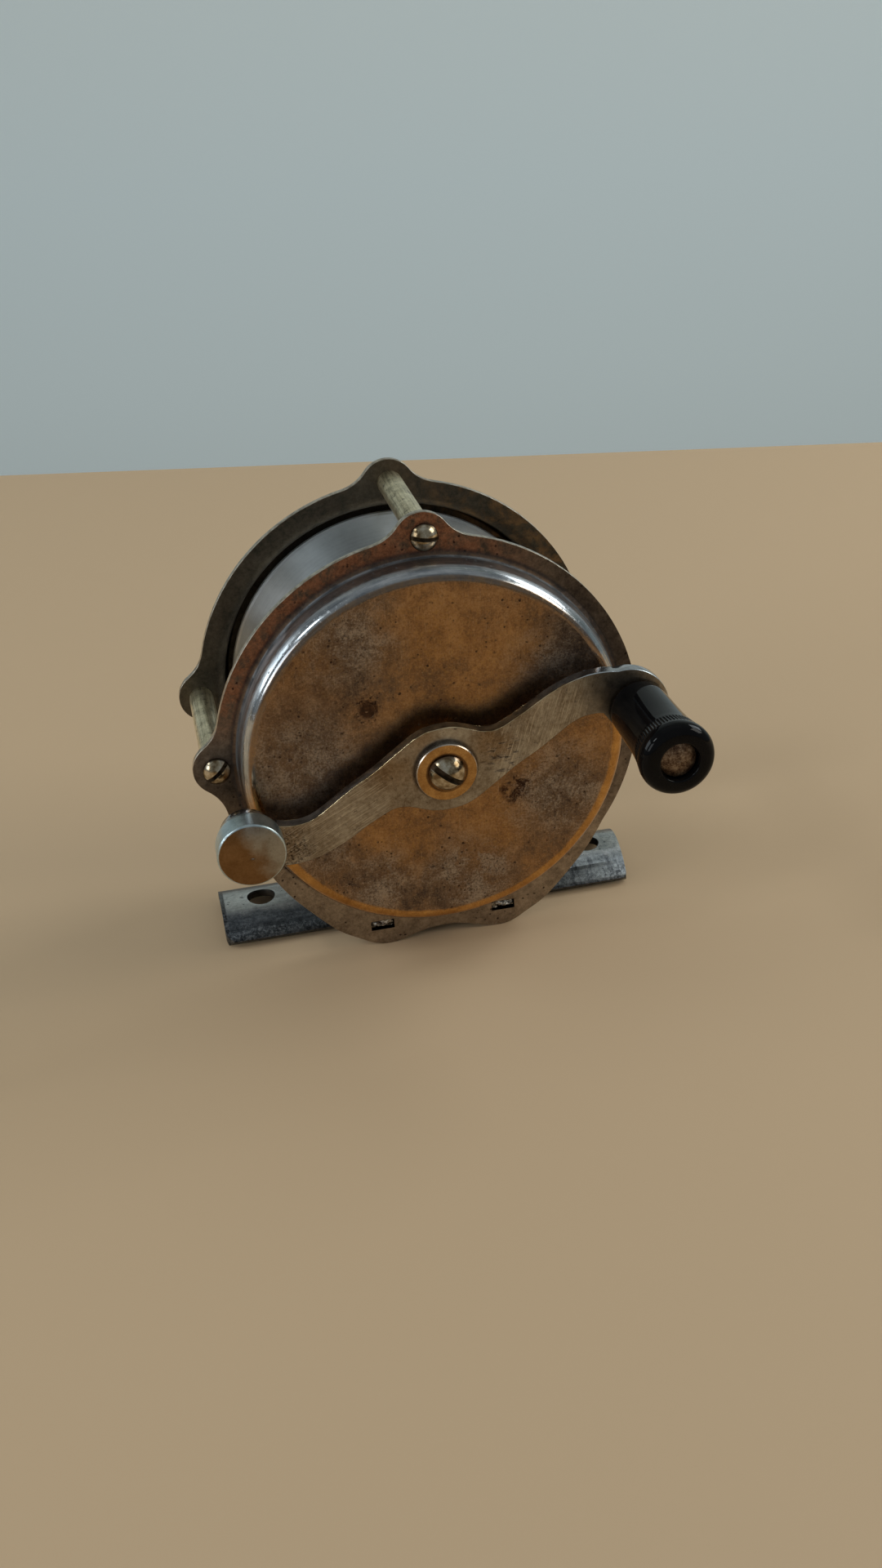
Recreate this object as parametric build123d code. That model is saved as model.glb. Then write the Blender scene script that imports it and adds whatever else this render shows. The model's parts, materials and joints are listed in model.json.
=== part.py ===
from build123d import *
import os
from math import sin, cos, radians, sqrt, hypot, atan2

# Raised-pillar fly reel.
# Row frame: origin at the centre of the two screw holes of the foot, at mid
# thickness of the foot's crown. +X along the foot, +Y from the crank side to
# the click side, +Z up. Everything is drawn about the spool axis first (axle
# frame: same axes, origin on the spool axis midway between the side plates)
# and lifted by axle_height at the end.

# ---------------------------------------------------------------- dimensions
axle_height = 28.9          # spool axis above the foot's hole centre

half_width = 12.6           # mid plane to the outer face of a side plate's rim
sheet = 1.0                 # side plate sheet thickness
rim_r = 30.0                # round part of the side plate rim
drum_r = 27.1               # outer radius of the drawn cup at the rim
drum_top_r = 26.9           # outer radius of the cup below its corner
drum_h = 4.7                # cup height above the rim's outer face
drum_corner = 1.65          # rounded corner of the cup, radially
drum_corner_h = 2.4         # and along the axis
drum_root = 0.8             # root radius between cup and rim
bearing_hole_r = 3.4

pillar_turn = -1.0          # the pillar circle sits turned by this angle
pillar_spots = {"top": (0.80, 29.80), "left": (-30.02, 0.32), "right": (29.9, -0.52)}
pillar_r = 1.8
pillar_thread_r = 1.15
ear_centre_r = 29.3
ear_r = 3.95
ear_fillet = 6.0
# foot lobes of the rim: angle from straight down against radius
lobe = [(0, 30.65), (3.5, 30.8), (6.5, 31.3), (9.5, 32.05), (12.5, 32.9), (15.5, 33.4), (18.5, 33.5),
        (22, 33.15), (27, 32.8), (32, 32.15), (38, 31.4), (45, 30.8), (52, 30.25), (58, 29.8)]
slot_x = 9.1                # tab slots, each side of the middle
slot_z = -28.9
slot_l = 3.4
slot_h = 1.5

screw_head_r = 1.88
screw_head_h = 1.35
screw_slot_w = 0.55
screw_len = 6.0

foot_left_x = -31.8         # left end, cut square
foot_right_far = 31.4       # right end, cut a little askew: far side
foot_right_near = 30.1      # and near (crank) side
foot_sheet = 1.2
foot_top_z = -28.3
foot_out_r = 11.0           # outer radius of the saddle
foot_half_angle = 42.0
foot_hole_x = 25.6
foot_hole_r = 2.1
foot_flat_half = 13.0       # flat middle that reaches the two plates
tab_w = 3.0

spool_flange_r = 25.0
spool_flange_t = 0.8
spool_inner_y = 13.3        # inner face of each spool flange
arbor_r = 8.0
arbor_wall = 1.2
shaft_r = 2.0
shaft_gap = 0.04

crank_back = 19.8           # crank back face, forward of the mid plane
crank_t = 1.8
hub_r = 6.2
knob_x, knob_z = 27.12, 5.0
crank_end_r = 4.9
weight_x, weight_z = -27.4, -5.9
weight_end_r = 3.7
crank_washer_r = 4.2
crank_washer_t = 1.0
crank_screw_r = 2.58
crank_screw_h = 1.95

knob_len = 16.8
knob_spindle_r = 1.5
knob_gap = 0.05

teeth = 12
click_tip_r = 7.0
click_root_r = 5.9
click_travel = 2.2
pawl_pivot_z = 12.4

rivet_angle = 139.0
rivet_circle = 12.5
rivet_r = 1.15

hf = half_width
face_y = hf + drum_h        # outer face of each cup, from the mid plane


# ------------------------------------------------------------------- helpers
def prism(sketch, y0, y1):
    """Extrude a sketch drawn as (x, z) from y0 to y1."""
    pl = Plane(origin=(0, max(y0, y1), 0), x_dir=(1, 0, 0), z_dir=(0, -1, 0))
    return extrude(pl * sketch, amount=abs(y1 - y0))


def turned(points, x=0.0, z=0.0):
    """Revolve a closed (radius, y) outline about the Y direction at (x, z)."""
    wire = Polyline(*points, close=True)
    return Pos(x, 0, z) * revolve(make_face(wire), axis=Axis.Y)


def turned_edges(edges, x=0.0, z=0.0):
    return Pos(x, 0, z) * revolve(make_face(edges), axis=Axis.Y)


def disc(r, y0, y1, x=0.0, z=0.0, hole=0.0):
    s = Circle(r)
    if hole:
        s -= Circle(hole)
    return prism(Pos(x, z) * s, y0, y1)


def arc3(a, m, b):
    return ThreePointArc(a, m, b)


def polar(r, deg):
    return (r * cos(radians(deg)), r * sin(radians(deg)))


def cap_arc(r, y_rim, y_top):
    """Arc of a shallow spherical cap from its rim (r, y_rim) to the axis."""
    h = y_top - y_rim
    big = (r * r + h * h) / (2 * h)          # signed radius, centre on the axis
    half_a = 0.5 * (2 * atan2(abs(h), r))    # half of the rim's polar angle
    cy = y_top - big
    return arc3((r, y_rim), (abs(big) * sin(half_a), cy + big * cos(half_a)), (0, y_top))


def dome_screw(x, z, seat, head_r, head_h, shank_r, shank_len, slot_w, slot_deg, rim=0.35):
    """Slotted domed screw. seat is the face it bears on, the head stands
    towards -Y, the shank runs towards +Y."""
    top = seat - head_h
    edges = [
        Line((0, seat + shank_len), (shank_r, seat + shank_len)),
        Line((shank_r, seat + shank_len), (shank_r, seat)),
        Line((shank_r, seat), (head_r, seat)),
        Line((head_r, seat), (head_r, seat - rim)),
        cap_arc(head_r, seat - rim, top),
        Line((0, top), (0, seat + shank_len)),
    ]
    body = turned_edges(edges, x, z)
    cut = Pos(x, top, z) * Rot(0, slot_deg, 0) * Box(head_r * 2.4, head_h * 1.05, slot_w)
    return body - cut


def mirror_y(part):
    return mirror(part, about=Plane.XZ)


pillar_angles = {"top": 90 + pillar_turn, "left": 180 + pillar_turn, "right": 0 + pillar_turn}


# --------------------------------------------------------------- side plates
def rim_outline():
    s = Sketch() + Circle(rim_r)
    # three screw ears with concave flanks
    a = ear_centre_r
    p = rim_r + ear_fillet
    q = ear_r + ear_fillet
    fy = (a * a + p * p - q * q) / (2 * a)
    fx = sqrt(p * p - fy * fy)
    bx, by = fx * rim_r / p, fy * rim_r / p
    tx, ty = fx * ear_r / q, a + (fy - a) * ear_r / q
    # middle of the concave arc
    mx, my = (bx + tx) / 2 - fx, (by + ty) / 2 - fy
    ml = hypot(mx, my)
    mx, my = fx + mx / ml * ear_fillet, fy + my / ml * ear_fillet
    for deg in pillar_angles.values():
        e = [
            arc3((-tx, ty), (0, a + ear_r), (tx, ty)),
            arc3((tx, ty), (mx, my), (bx, by)),
            Line((bx, by), (0, by - 6)),
            Line((0, by - 6), (-bx, by)),
            arc3((-bx, by), (-mx, my), (-tx, ty)),
        ]
        s += Rot(0, 0, deg - 90) * make_face(e)
    # foot lobes
    pts = [polar(r, -90 - ang) for ang, r in reversed(lobe)] + [polar(r, -90 + ang) for ang, r in lobe[1:]]
    curve = Spline(*pts)
    e = [curve, Line(pts[-1], (0, -10)), Line((0, -10), pts[0])]
    s += make_face(e)
    return s


def cup_profile():
    """Half section of the drawn cup, front plate, as (radius, y)."""
    y0 = -hf                      # outer face of the rim
    r_o, r_t, c, f, t = drum_r, drum_top_r, drum_corner, drum_root, sheet
    ch = drum_corner_h
    top = y0 - drum_h
    k = 0.70710678
    r_join = r_o + f
    ri_o, ri_t = r_o - t, r_t - t
    ci = c - t
    e = [
        Line((r_join, y0 + t), (r_join, y0)),
        arc3((r_join, y0), (r_join - f * k, y0 - f + f * k), (r_o, y0 - f)),
        Line((r_o, y0 - f), (r_t, top + ch)),
        EllipticalCenterArc((r_t - c, top + ch), c, ch, start_angle=-90, arc_size=90),
        Line((r_t - c, top), (bearing_hole_r, top)),
        Line((bearing_hole_r, top), (bearing_hole_r, top + t)),
        Line((bearing_hole_r, top + t), (r_t - c, top + t)),
        EllipticalCenterArc((r_t - c, top + ch), ci, ch - t, start_angle=-90, arc_size=90),
        Line((ri_t, top + ch), (ri_o, y0 - f)),
        arc3((ri_o, y0 - f), (r_join - (f + t) * k, y0 - f + (f + t) * k), (r_join, y0 + t)),
    ]
    return make_face(e)


def plate_blank():
    rim = rim_outline() - Circle(drum_r + drum_root)
    body = prism(rim, -hf, -hf + sheet) + revolve(cup_profile(), axis=Axis.Y)
    for x, z in pillar_spots.values():
        body -= disc(pillar_thread_r + 0.15, -hf - 1, -hf + sheet + 1, x, z)
    for sx in (-slot_x, slot_x):
        body -= Pos(sx, -hf + sheet / 2, slot_z) * Box(slot_l, sheet * 3, slot_h)
    return body


blank = plate_blank()

front_plate = blank
for s in (1, -1):
    x, z = polar(rivet_circle * s, rivet_angle)
    front_plate = front_plate - disc(rivet_r, -face_y - 1, -face_y + sheet + 1, x, z)

back_plate = mirror_y(blank)
# slot for the click button's stem, and the two rivet holes of the click spring
stem_r = 1.4
stem_rest_z = pawl_pivot_z
slot_lo, slot_hi = stem_rest_z - stem_r - 0.1, stem_rest_z + click_travel + stem_r + 0.1
back_plate = back_plate - prism(
    Pos(0, (slot_lo + slot_hi) / 2) * Rot(0, 0, 90) * SlotOverall(slot_hi - slot_lo, 2 * (stem_r + 0.1)),
    face_y - sheet - 1, face_y + 1)
spring_rivet_x, spring_rivet_z = 6.0, 18.6
for sx in (-1, 1):
    back_plate = back_plate - disc(0.7, face_y - sheet - 1, face_y + 1, sx * spring_rivet_x, spring_rivet_z)


# ------------------------------------------------------------ pillars, screws
def pillar(name):
    x, z = pillar_spots[name]
    y = hf - sheet
    body = disc(pillar_r, -y, y, x, z)
    body -= disc(pillar_thread_r, -y - 1, -y + screw_len - sheet + 0.4, x, z)
    body -= disc(pillar_thread_r, y - screw_len + sheet - 0.4, y + 1, x, z)
    return body


top_pillar = pillar("top")
left_pillar = pillar("left")
right_pillar = pillar("right")

slots = {"top": 8.0, "left": -40.0, "right": 65.0}
front_screws = []
for name, (x, z) in pillar_spots.items():
    front_screws.append(dome_screw(x, z, -hf, screw_head_r, screw_head_h, pillar_thread_r, screw_len,
                                   screw_slot_w, slots[name]))
rear_slots = {"top": 30.0, "left": 75.0, "right": -20.0}
rear_screws = []
for name, (x, z) in pillar_spots.items():
    rear_screws.append(mirror_y(dome_screw(x, z, -hf, screw_head_r, screw_head_h, pillar_thread_r, screw_len,
                                           screw_slot_w, rear_slots[name])))


# ----------------------------------------------------------------------- foot
def saddle_section():
    """Section of the saddle as (y, z)."""
    ro, ri = foot_out_r, foot_out_r - foot_sheet
    cz = foot_top_z - ro
    a = radians(foot_half_angle)
    e = [
        arc3((-ro * sin(a), cz + ro * cos(a)), (0, cz + ro), (ro * sin(a), cz + ro * cos(a))),
        Line((ro * sin(a), cz + ro * cos(a)), (ri * sin(a), cz + ri * cos(a))),
        arc3((ri * sin(a), cz + ri * cos(a)), (0, cz + ri), (-ri * sin(a), cz + ri * cos(a))),
        Line((-ri * sin(a), cz + ri * cos(a)), (-ro * sin(a), cz + ro * cos(a))),
    ]
    return make_face(e)


def make_foot():
    pl = Plane(origin=(foot_left_x - 1, 0, 0), x_dir=(0, 1, 0), z_dir=(1, 0, 0))
    saddle = extrude(pl * saddle_section(), amount=2 - 2 * foot_left_x)
    # the saddle is only left beyond the flat middle, its ends cut with soft corners
    w = 2 * foot_out_r
    ends = Pos(0, 0, foot_top_z - 3) * (
        Box(2 - 2 * foot_left_x, w, 12) - Box(2 * (foot_flat_half - 2.0), w + 2, 14))
    saddle = saddle & ends
    corner = foot_out_r * sin(radians(foot_half_angle))
    hw = corner + 0.01
    outline = make_face(Polyline((foot_left_x, -hw), (foot_right_near, -hw), (foot_right_far, hw),
                                 (foot_left_x, hw), close=True))
    soft = {0: 1.8, 1: 0.8, 2: 2.6, 3: 2.0}
    spots = [(foot_left_x, -hw), (foot_right_near, -hw), (foot_right_far, hw), (foot_left_x, hw)]
    for i, (px, py) in enumerate(spots):
        near = min(outline.vertices(), key=lambda q: (q.X - px) ** 2 + (q.Y - py) ** 2)
        outline = fillet(near, soft[i])
    keep = extrude(Pos(0, 0, foot_top_z - 8) * outline, amount=12)
    saddle = saddle & keep
    y_in = hf - sheet
    flat = Pos(0, 0, foot_top_z - foot_sheet / 2) * Box(2 * foot_flat_half, 2 * y_in, foot_sheet)
    # the middle narrows to the saddle with two cut corners on each side
    for sx in (-1, 1):
        for sy in (-1, 1):
            tri = Pos(sx * foot_flat_half, sy * y_in, foot_top_z - foot_sheet / 2) * Rot(0, 0, 45) * Box(
                2.6, 2.6, foot_sheet * 2)
            flat -= tri
    foot = saddle + flat
    for sx in (-slot_x, slot_x):
        foot += Pos(sx, 0, foot_top_z - foot_sheet / 2) * Box(tab_w, 2 * (hf - 0.62), foot_sheet)
    for sx in (-foot_hole_x, foot_hole_x):
        foot -= Pos(sx, 0, foot_top_z) * Cylinder(foot_hole_r, 12)
    return foot


foot = make_foot()

# -------------------------------------------------- front bearing of the shaft
bush_r = bearing_hole_r
bush_boss_r = 4.4
bore = shaft_r + shaft_gap
front_bush = turned([
    (bore, -crank_back + 0.25), (bush_boss_r - 0.3, -crank_back + 0.25), (bush_boss_r, -crank_back + 0.55),
    (bush_boss_r, -face_y), (bush_r, -face_y), (bush_r, -face_y + sheet + 1.4), (bore, -face_y + sheet + 1.4)])

bridge_y0, bridge_y1 = -face_y + sheet, -face_y + sheet + 0.9
strap = Rot(0, 0, rivet_angle) * SlotOverall(2 * rivet_circle + 6.0, 6.0)
bearing_bridge = prism(strap + Circle(5.6), bridge_y0, bridge_y1) - disc(bush_r, bridge_y0 - 1, bridge_y1 + 1)
bridge_rivets = []
for s in (1, -1):
    x, z = polar(rivet_circle * s, rivet_angle)
    bearing_bridge = bearing_bridge - disc(rivet_r, bridge_y0 - 1, bridge_y1 + 1, x, z)
    bridge_rivets.append(turned([
        (0, -face_y - 0.04), (rivet_r - 0.15, -face_y), (rivet_r, -face_y + 0.02), (rivet_r, bridge_y1),
        (rivet_r + 0.6, bridge_y1), (rivet_r + 0.45, bridge_y1 + 0.4), (0, bridge_y1 + 0.5)], x, z))

# --------------------------------------------------- rear bearing of the shaft
rear_bush = turned([
    (bore, face_y - sheet - 0.8), (bush_r + 1.6, face_y - sheet - 0.8), (bush_r + 1.6, face_y - sheet),
    (bush_r, face_y - sheet), (bush_r, face_y), (5.2, face_y), (5.2, face_y + 1.2), (4.8, face_y + 1.6),
    (3.3, face_y + 1.6), (3.3, face_y + 0.3), (bore, face_y + 0.3)])
cap_top = face_y + 2.6
end_cap = turned_edges([
    Line((0, face_y + 0.75), (2.6, face_y + 0.75)),
    Line((2.6, face_y + 0.75), (3.3, face_y + 0.75)),
    Line((3.3, face_y + 0.75), (3.3, face_y + 1.6)),
    Line((3.3, face_y + 1.6), (4.3, face_y + 1.6)),
    Line((4.3, face_y + 1.6), (4.3, face_y + 1.9)),
    cap_arc(4.3, face_y + 1.9, cap_top),
    Line((0, cap_top), (0, face_y + 0.75)),
])
end_cap = end_cap - Pos(0, cap_top, 0) * Rot(0, 25, 0) * Box(10, 1.1, 0.9)

# ---------------------------------------------------------------------- spool
spool_arbor = disc(arbor_r, -spool_inner_y, spool_inner_y, hole=arbor_r - arbor_wall)
fl_out = spool_inner_y + spool_flange_t


def spool_flange():
    """Turned flange with a rolled edge and a hub boss inside the arbor."""
    y0, y1 = -fl_out, -spool_inner_y
    body = turned([
        (shaft_r, y0), (spool_flange_r - 0.5, y0), (spool_flange_r - 0.12, y0 + 0.12),
        (spool_flange_r, y0 + 0.4), (spool_flange_r - 0.12, y1 - 0.12), (spool_flange_r - 0.5, y1),
        (arbor_r - arbor_wall, y1), (arbor_r - arbor_wall, y1 + 1.5), (shaft_r, y1 + 1.5)])
    return body


spool_flange_front = spool_flange()
spool_flange_rear = mirror_y(spool_flange())

tenon_r = 1.6
shaft_front = -crank_back - crank_t + 0.05
spool_shaft = turned([
    (0, -crank_back + 6.0), (1.25, -crank_back + 6.0), (1.25, shaft_front), (tenon_r, shaft_front),
    (tenon_r, -crank_back), (shaft_r, -crank_back), (shaft_r, face_y - 0.2), (shaft_r - 0.5, face_y + 0.5),
    (0, face_y + 0.6)])

# ---------------------------------------------------------------------- crank
half = [(-23.6, -4.55), (-21.6, -4.95), (-19.2, -4.75), (-17.0, -3.65), (-14.9, -2.15), (-12.0, -0.25),
        (-9.5, 1.25), (-7.8, 2.5), (-5.9, 3.85), (-4.0, 5.15), (-2.4, 5.85), (-0.6, 6.15), (1.4, 6.12), (3.3, 5.6),
        (4.9, 5.0), (6.1, 4.75), (7.2, 4.8), (8.9, 5.5), (11.6, 7.0), (13.8, 8.4), (16.6, 9.8), (19.4, 10.7),
        (21.8, 10.95), (24.4, 10.75)]
upper = Spline(*half)
lower_pts = [(-x, -z) for x, z in half]
lower = Spline(*lower_pts)
arm = make_face([upper, Line(half[-1], lower_pts[0]), lower, Line(lower_pts[-1], half[0])])
# rounded ends: the knob end follows the big circle, the weight end a small one
knob_end = make_face([
    arc3((24.4, 10.75), (30.35, 8.4), (31.2, 2.2)),
    arc3((31.2, 2.2), (27.9, 0.5), (24.6, 1.6)),
    Line((24.6, 1.6), (20.0, 8.0)),
    Line((20.0, 8.0), (24.4, 10.75)),
])
weight_end = make_face([
    Line((-24.4, -10.75), (-20.5, -8.0)),
    Line((-20.5, -8.0), (-24.2, -4.2)),
    arc3((-24.2, -4.2), (weight_x, weight_z + weight_end_r), (weight_x - weight_end_r, weight_z)),
    arc3((weight_x - weight_end_r, weight_z), (weight_x - 1.2, weight_z - weight_end_r + 0.1), (-24.4, -10.75)),
])
crank_sketch = Sketch() + arm + knob_end + weight_end + Circle(hub_r - 0.05)
crank_y0, crank_y1 = -crank_back - crank_t, -crank_back
spindle_hole = 1.2
weight_peg = 1.3
crank_plate = prism(crank_sketch, crank_y0, crank_y1)
crank_plate = crank_plate - disc(tenon_r, crank_y0 - 1, crank_y1 + 1)
crank_plate = crank_plate - disc(spindle_hole, crank_y0 - 1, crank_y1 + 1, knob_x, knob_z)
crank_plate = crank_plate - disc(weight_peg, crank_y0 - 1, crank_y1 + 1, weight_x, weight_z)

crank_washer = turned([
    (1.3, crank_y0), (crank_washer_r, crank_y0), (crank_washer_r, crank_y0 - crank_washer_t + 0.12),
    (crank_washer_r - 0.12, crank_y0 - crank_washer_t), (1.3, crank_y0 - crank_washer_t)])
crank_screw = dome_screw(0, 0, crank_y0 - crank_washer_t, crank_screw_r, crank_screw_h, 1.25,
                         crank_t + crank_washer_t + 4.0, 0.85, 38.0, rim=0.3)

# counterweight: a button narrower at its base, softly rounded rim, low dome
wy = crank_y0
counterweight = turned_edges([
    Line((0, crank_y1 + 0.35), (weight_peg + 0.5, crank_y1 + 0.2)),
    Line((weight_peg + 0.5, crank_y1 + 0.2), (weight_peg + 0.5, crank_y1)),
    Line((weight_peg + 0.5, crank_y1), (weight_peg, crank_y1)),
    Line((weight_peg, crank_y1), (weight_peg, wy)),
    Line((weight_peg, wy), (3.9, wy)),
    arc3((3.9, wy), (4.42, wy - 0.75), (4.55, wy - 1.6)),
    Line((4.55, wy - 1.6), (4.6, wy - 4.2)),
    arc3((4.6, wy - 4.2), (4.53, wy - 4.48), (4.3, wy - 4.62)),
    cap_arc(4.3, wy - 4.62, wy - 5.25),
    Line((0, wy - 5.25), (0, crank_y1 + 0.35)),
], weight_x, weight_z)

# ----------------------------------------------------------------------- knob
ky = crank_y0 - 0.35        # the knob's base, in front of its washer
tip = ky - knob_len
recess_r = 2.62
recess_d = 1.55
knob_bore = knob_spindle_r + knob_gap
knob = turned_edges([
    Line((knob_bore, ky), (3.9, ky)),
    arc3((3.9, ky), (4.06, ky - 0.1), (4.12, ky - 0.3)),
    Spline((4.12, ky - 0.3), (4.18, ky - 4.5), (4.30, ky - 8.5), (4.50, ky - 11.4), (4.82, ky - 13.4),
           (5.06, ky - 14.7)),
    Spline((5.06, ky - 14.7), (5.03, ky - 15.45), (4.72, ky - 16.2), (4.12, ky - 16.66), (3.4, tip)),
    Line((3.4, tip), (recess_r + 0.25, tip)),
    arc3((recess_r + 0.25, tip), (recess_r + 0.07, tip + 0.07), (recess_r, tip + 0.25)),
    Line((recess_r, tip + 0.25), (recess_r, tip + recess_d)),
    Line((recess_r, tip + recess_d), (knob_bore, tip + recess_d)),
    Line((knob_bore, tip + recess_d), (knob_bore, ky)),
], knob_x, knob_z)

knob_washer = disc(3.6, crank_y0, crank_y0 - 0.3, knob_x, knob_z, hole=knob_spindle_r)
head_y = tip + recess_d - 0.06
knob_rivet = turned_edges([
    Line((0, crank_y1 + 0.5), (spindle_hole + 0.4, crank_y1 + 0.3)),
    Line((spindle_hole + 0.4, crank_y1 + 0.3), (spindle_hole + 0.6, crank_y1)),
    Line((spindle_hole + 0.6, crank_y1), (spindle_hole, crank_y1)),
    Line((spindle_hole, crank_y1), (spindle_hole, crank_y0)),
    Line((spindle_hole, crank_y0), (knob_spindle_r, crank_y0)),
    Line((knob_spindle_r, crank_y0), (knob_spindle_r, head_y)),
    Line((knob_spindle_r, head_y), (2.42, head_y)),
    Line((2.42, head_y), (2.42, head_y - 0.45)),
    cap_arc(2.42, head_y - 0.45, head_y - 0.95),
    Line((0, head_y - 0.95), (0, crank_y1 + 0.5)),
], knob_x, knob_z)

# ---------------------------------------------------------------------- click
wheel_y0, wheel_y1 = fl_out, fl_out + 0.9
star = []
for i in range(teeth):
    c = 90 + (i + 0.5) * 360 / teeth      # tooth tops; a gap stands straight up
    for r, d in ((click_root_r, -11.5), (click_tip_r, -2.2), (click_tip_r, 2.2), (click_root_r, 11.5)):
        star.append(polar(r, c + d))
click_wheel = prism(make_face(Polyline(*star, close=True)) - Circle(shaft_r), wheel_y0, wheel_y1)

# the button: head outside, stem through the slot, collar inside, pivot pin
in_face = face_y - sheet
pawl_y0, pawl_y1 = fl_out + 0.2, fl_out + 0.95
collar_y0 = fl_out + 1.05
click_button = turned_edges([
    Line((0, pawl_y0), (0.7, pawl_y0)),
    Line((0.7, pawl_y0), (0.7, collar_y0)),
    Line((0.7, collar_y0), (2.4, collar_y0)),
    Line((2.4, collar_y0), (2.4, in_face - 0.1)),
    Line((2.4, in_face - 0.1), (stem_r, in_face - 0.1)),
    Line((stem_r, in_face - 0.1), (stem_r, face_y + 0.1)),
    Line((stem_r, face_y + 0.1), (2.7, face_y + 0.1)),
    Line((2.7, face_y + 0.1), (2.9, face_y + 0.4)),
    Line((2.9, face_y + 0.4), (2.5, face_y + 2.1)),
    cap_arc(2.5, face_y + 2.1, face_y + 2.55),
    Line((0, face_y + 2.55), (0, pawl_y0)),
], 0, stem_rest_z)

pawl_tip_z = 6.35
pz = pawl_pivot_z
pawl_outline = make_face(Polyline(
    (-0.12, pawl_tip_z), (0.12, pawl_tip_z), (1.1, pawl_tip_z + 2.6), (1.35, pz - 0.6), (1.35, pz + 0.6),
    (0.5, pz + 1.3), (0.45, pz + 5.0), (-0.45, pz + 5.0), (-0.5, pz + 1.3), (-1.35, pz + 0.6), (-1.35, pz - 0.6),
    (-1.1, pawl_tip_z + 2.6), close=True))
click_pawl = prism(pawl_outline - Pos(0, pz) * Circle(0.75), pawl_y0, pawl_y1)

# hairpin leaf spring round the pawl's tail, riveted to the back plate
sp_t, sp_gap = 0.35, 1.5
sy0, sy1 = pawl_y0, in_face
leaf_y1 = pawl_y1
tail_top = pz + 5.0 + click_travel + 0.4


def strip(points, w):
    s = Sketch()
    for a, b in zip(points[:-1], points[1:]):
        dx, dz = b[0] - a[0], b[1] - a[1]
        length = hypot(dx, dz)
        n = (-dz / length * w / 2, dx / length * w / 2)
        s += make_face(Polyline((a[0] + n[0], a[1] + n[1]), (b[0] + n[0], b[1] + n[1]),
                                (b[0] - n[0], b[1] - n[1]), (a[0] - n[0], a[1] - n[1]), close=True))
        s += Pos(*b) * Circle(w / 2)
    return s


arm_r = [(sp_gap, pz + 3.35), (sp_gap, tail_top), (spring_rivet_x, spring_rivet_z)]
arm_l = [(-x, z) for x, z in arm_r]
leaf = strip(arm_r, sp_t) + strip(arm_l, sp_t) + strip([(-sp_gap, tail_top), (sp_gap, tail_top)], sp_t)
for sx in (-1, 1):
    leaf += Pos(sx * spring_rivet_x, spring_rivet_z) * Circle(1.3)
click_spring = prism(leaf, sy0, leaf_y1)
for sx in (-1, 1):
    click_spring += disc(1.3, leaf_y1, sy1, sx * spring_rivet_x, spring_rivet_z)
    click_spring -= disc(0.7, sy0 - 1, sy1 + 1, sx * spring_rivet_x, spring_rivet_z)
spring_rivets = []
for sx in (-1, 1):
    spring_rivets.append(turned([
        (0, sy0 - 0.02), (0.7, sy0), (0.7, face_y), (1.2, face_y), (1.05, face_y + 0.35), (0, face_y + 0.5)],
        sx * spring_rivet_x, spring_rivet_z))


# --------------------------------------------------------------------- export
def group(parts):
    out = []
    for p in parts:
        out.extend(p.solids())
    return out


nodes = {
    "front_plate": [front_plate],
    "back_plate": [back_plate],
    "top_pillar": [top_pillar],
    "left_pillar": [left_pillar],
    "right_pillar": [right_pillar],
    "pillar_screws_front": front_screws,
    "pillar_screws_rear": rear_screws,
    "foot": [foot],
    "front_bush": [front_bush],
    "bearing_bridge": [bearing_bridge],
    "bridge_rivets": bridge_rivets,
    "rear_bush": [rear_bush],
    "end_cap": [end_cap],
    "click_spring": [click_spring],
    "spring_rivets": spring_rivets,
    "spool_arbor": [spool_arbor],
    "spool_flange_front": [spool_flange_front],
    "spool_flange_rear": [spool_flange_rear],
    "spool_shaft": [spool_shaft],
    "click_wheel": [click_wheel],
    "crank_plate": [crank_plate],
    "crank_washer": [crank_washer],
    "crank_screw": [crank_screw],
    "counterweight": [counterweight],
    "knob_rivet": [knob_rivet],
    "knob_washer": [knob_washer],
    "knob": [knob],
    "click_button": [click_button],
    "click_pawl": [click_pawl],
}

os.makedirs("parts", exist_ok=True)
lift = Pos(0, 0, axle_height)
for name, parts in nodes.items():
    solids = [lift * s for s in group(parts)]
    shape = solids[0] if len(solids) == 1 else Compound(children=solids)
    export_step(shape, os.path.join("parts", name + ".step"))
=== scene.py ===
import json
import math

import bmesh
import bpy
from mathutils import Matrix, Vector

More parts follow.
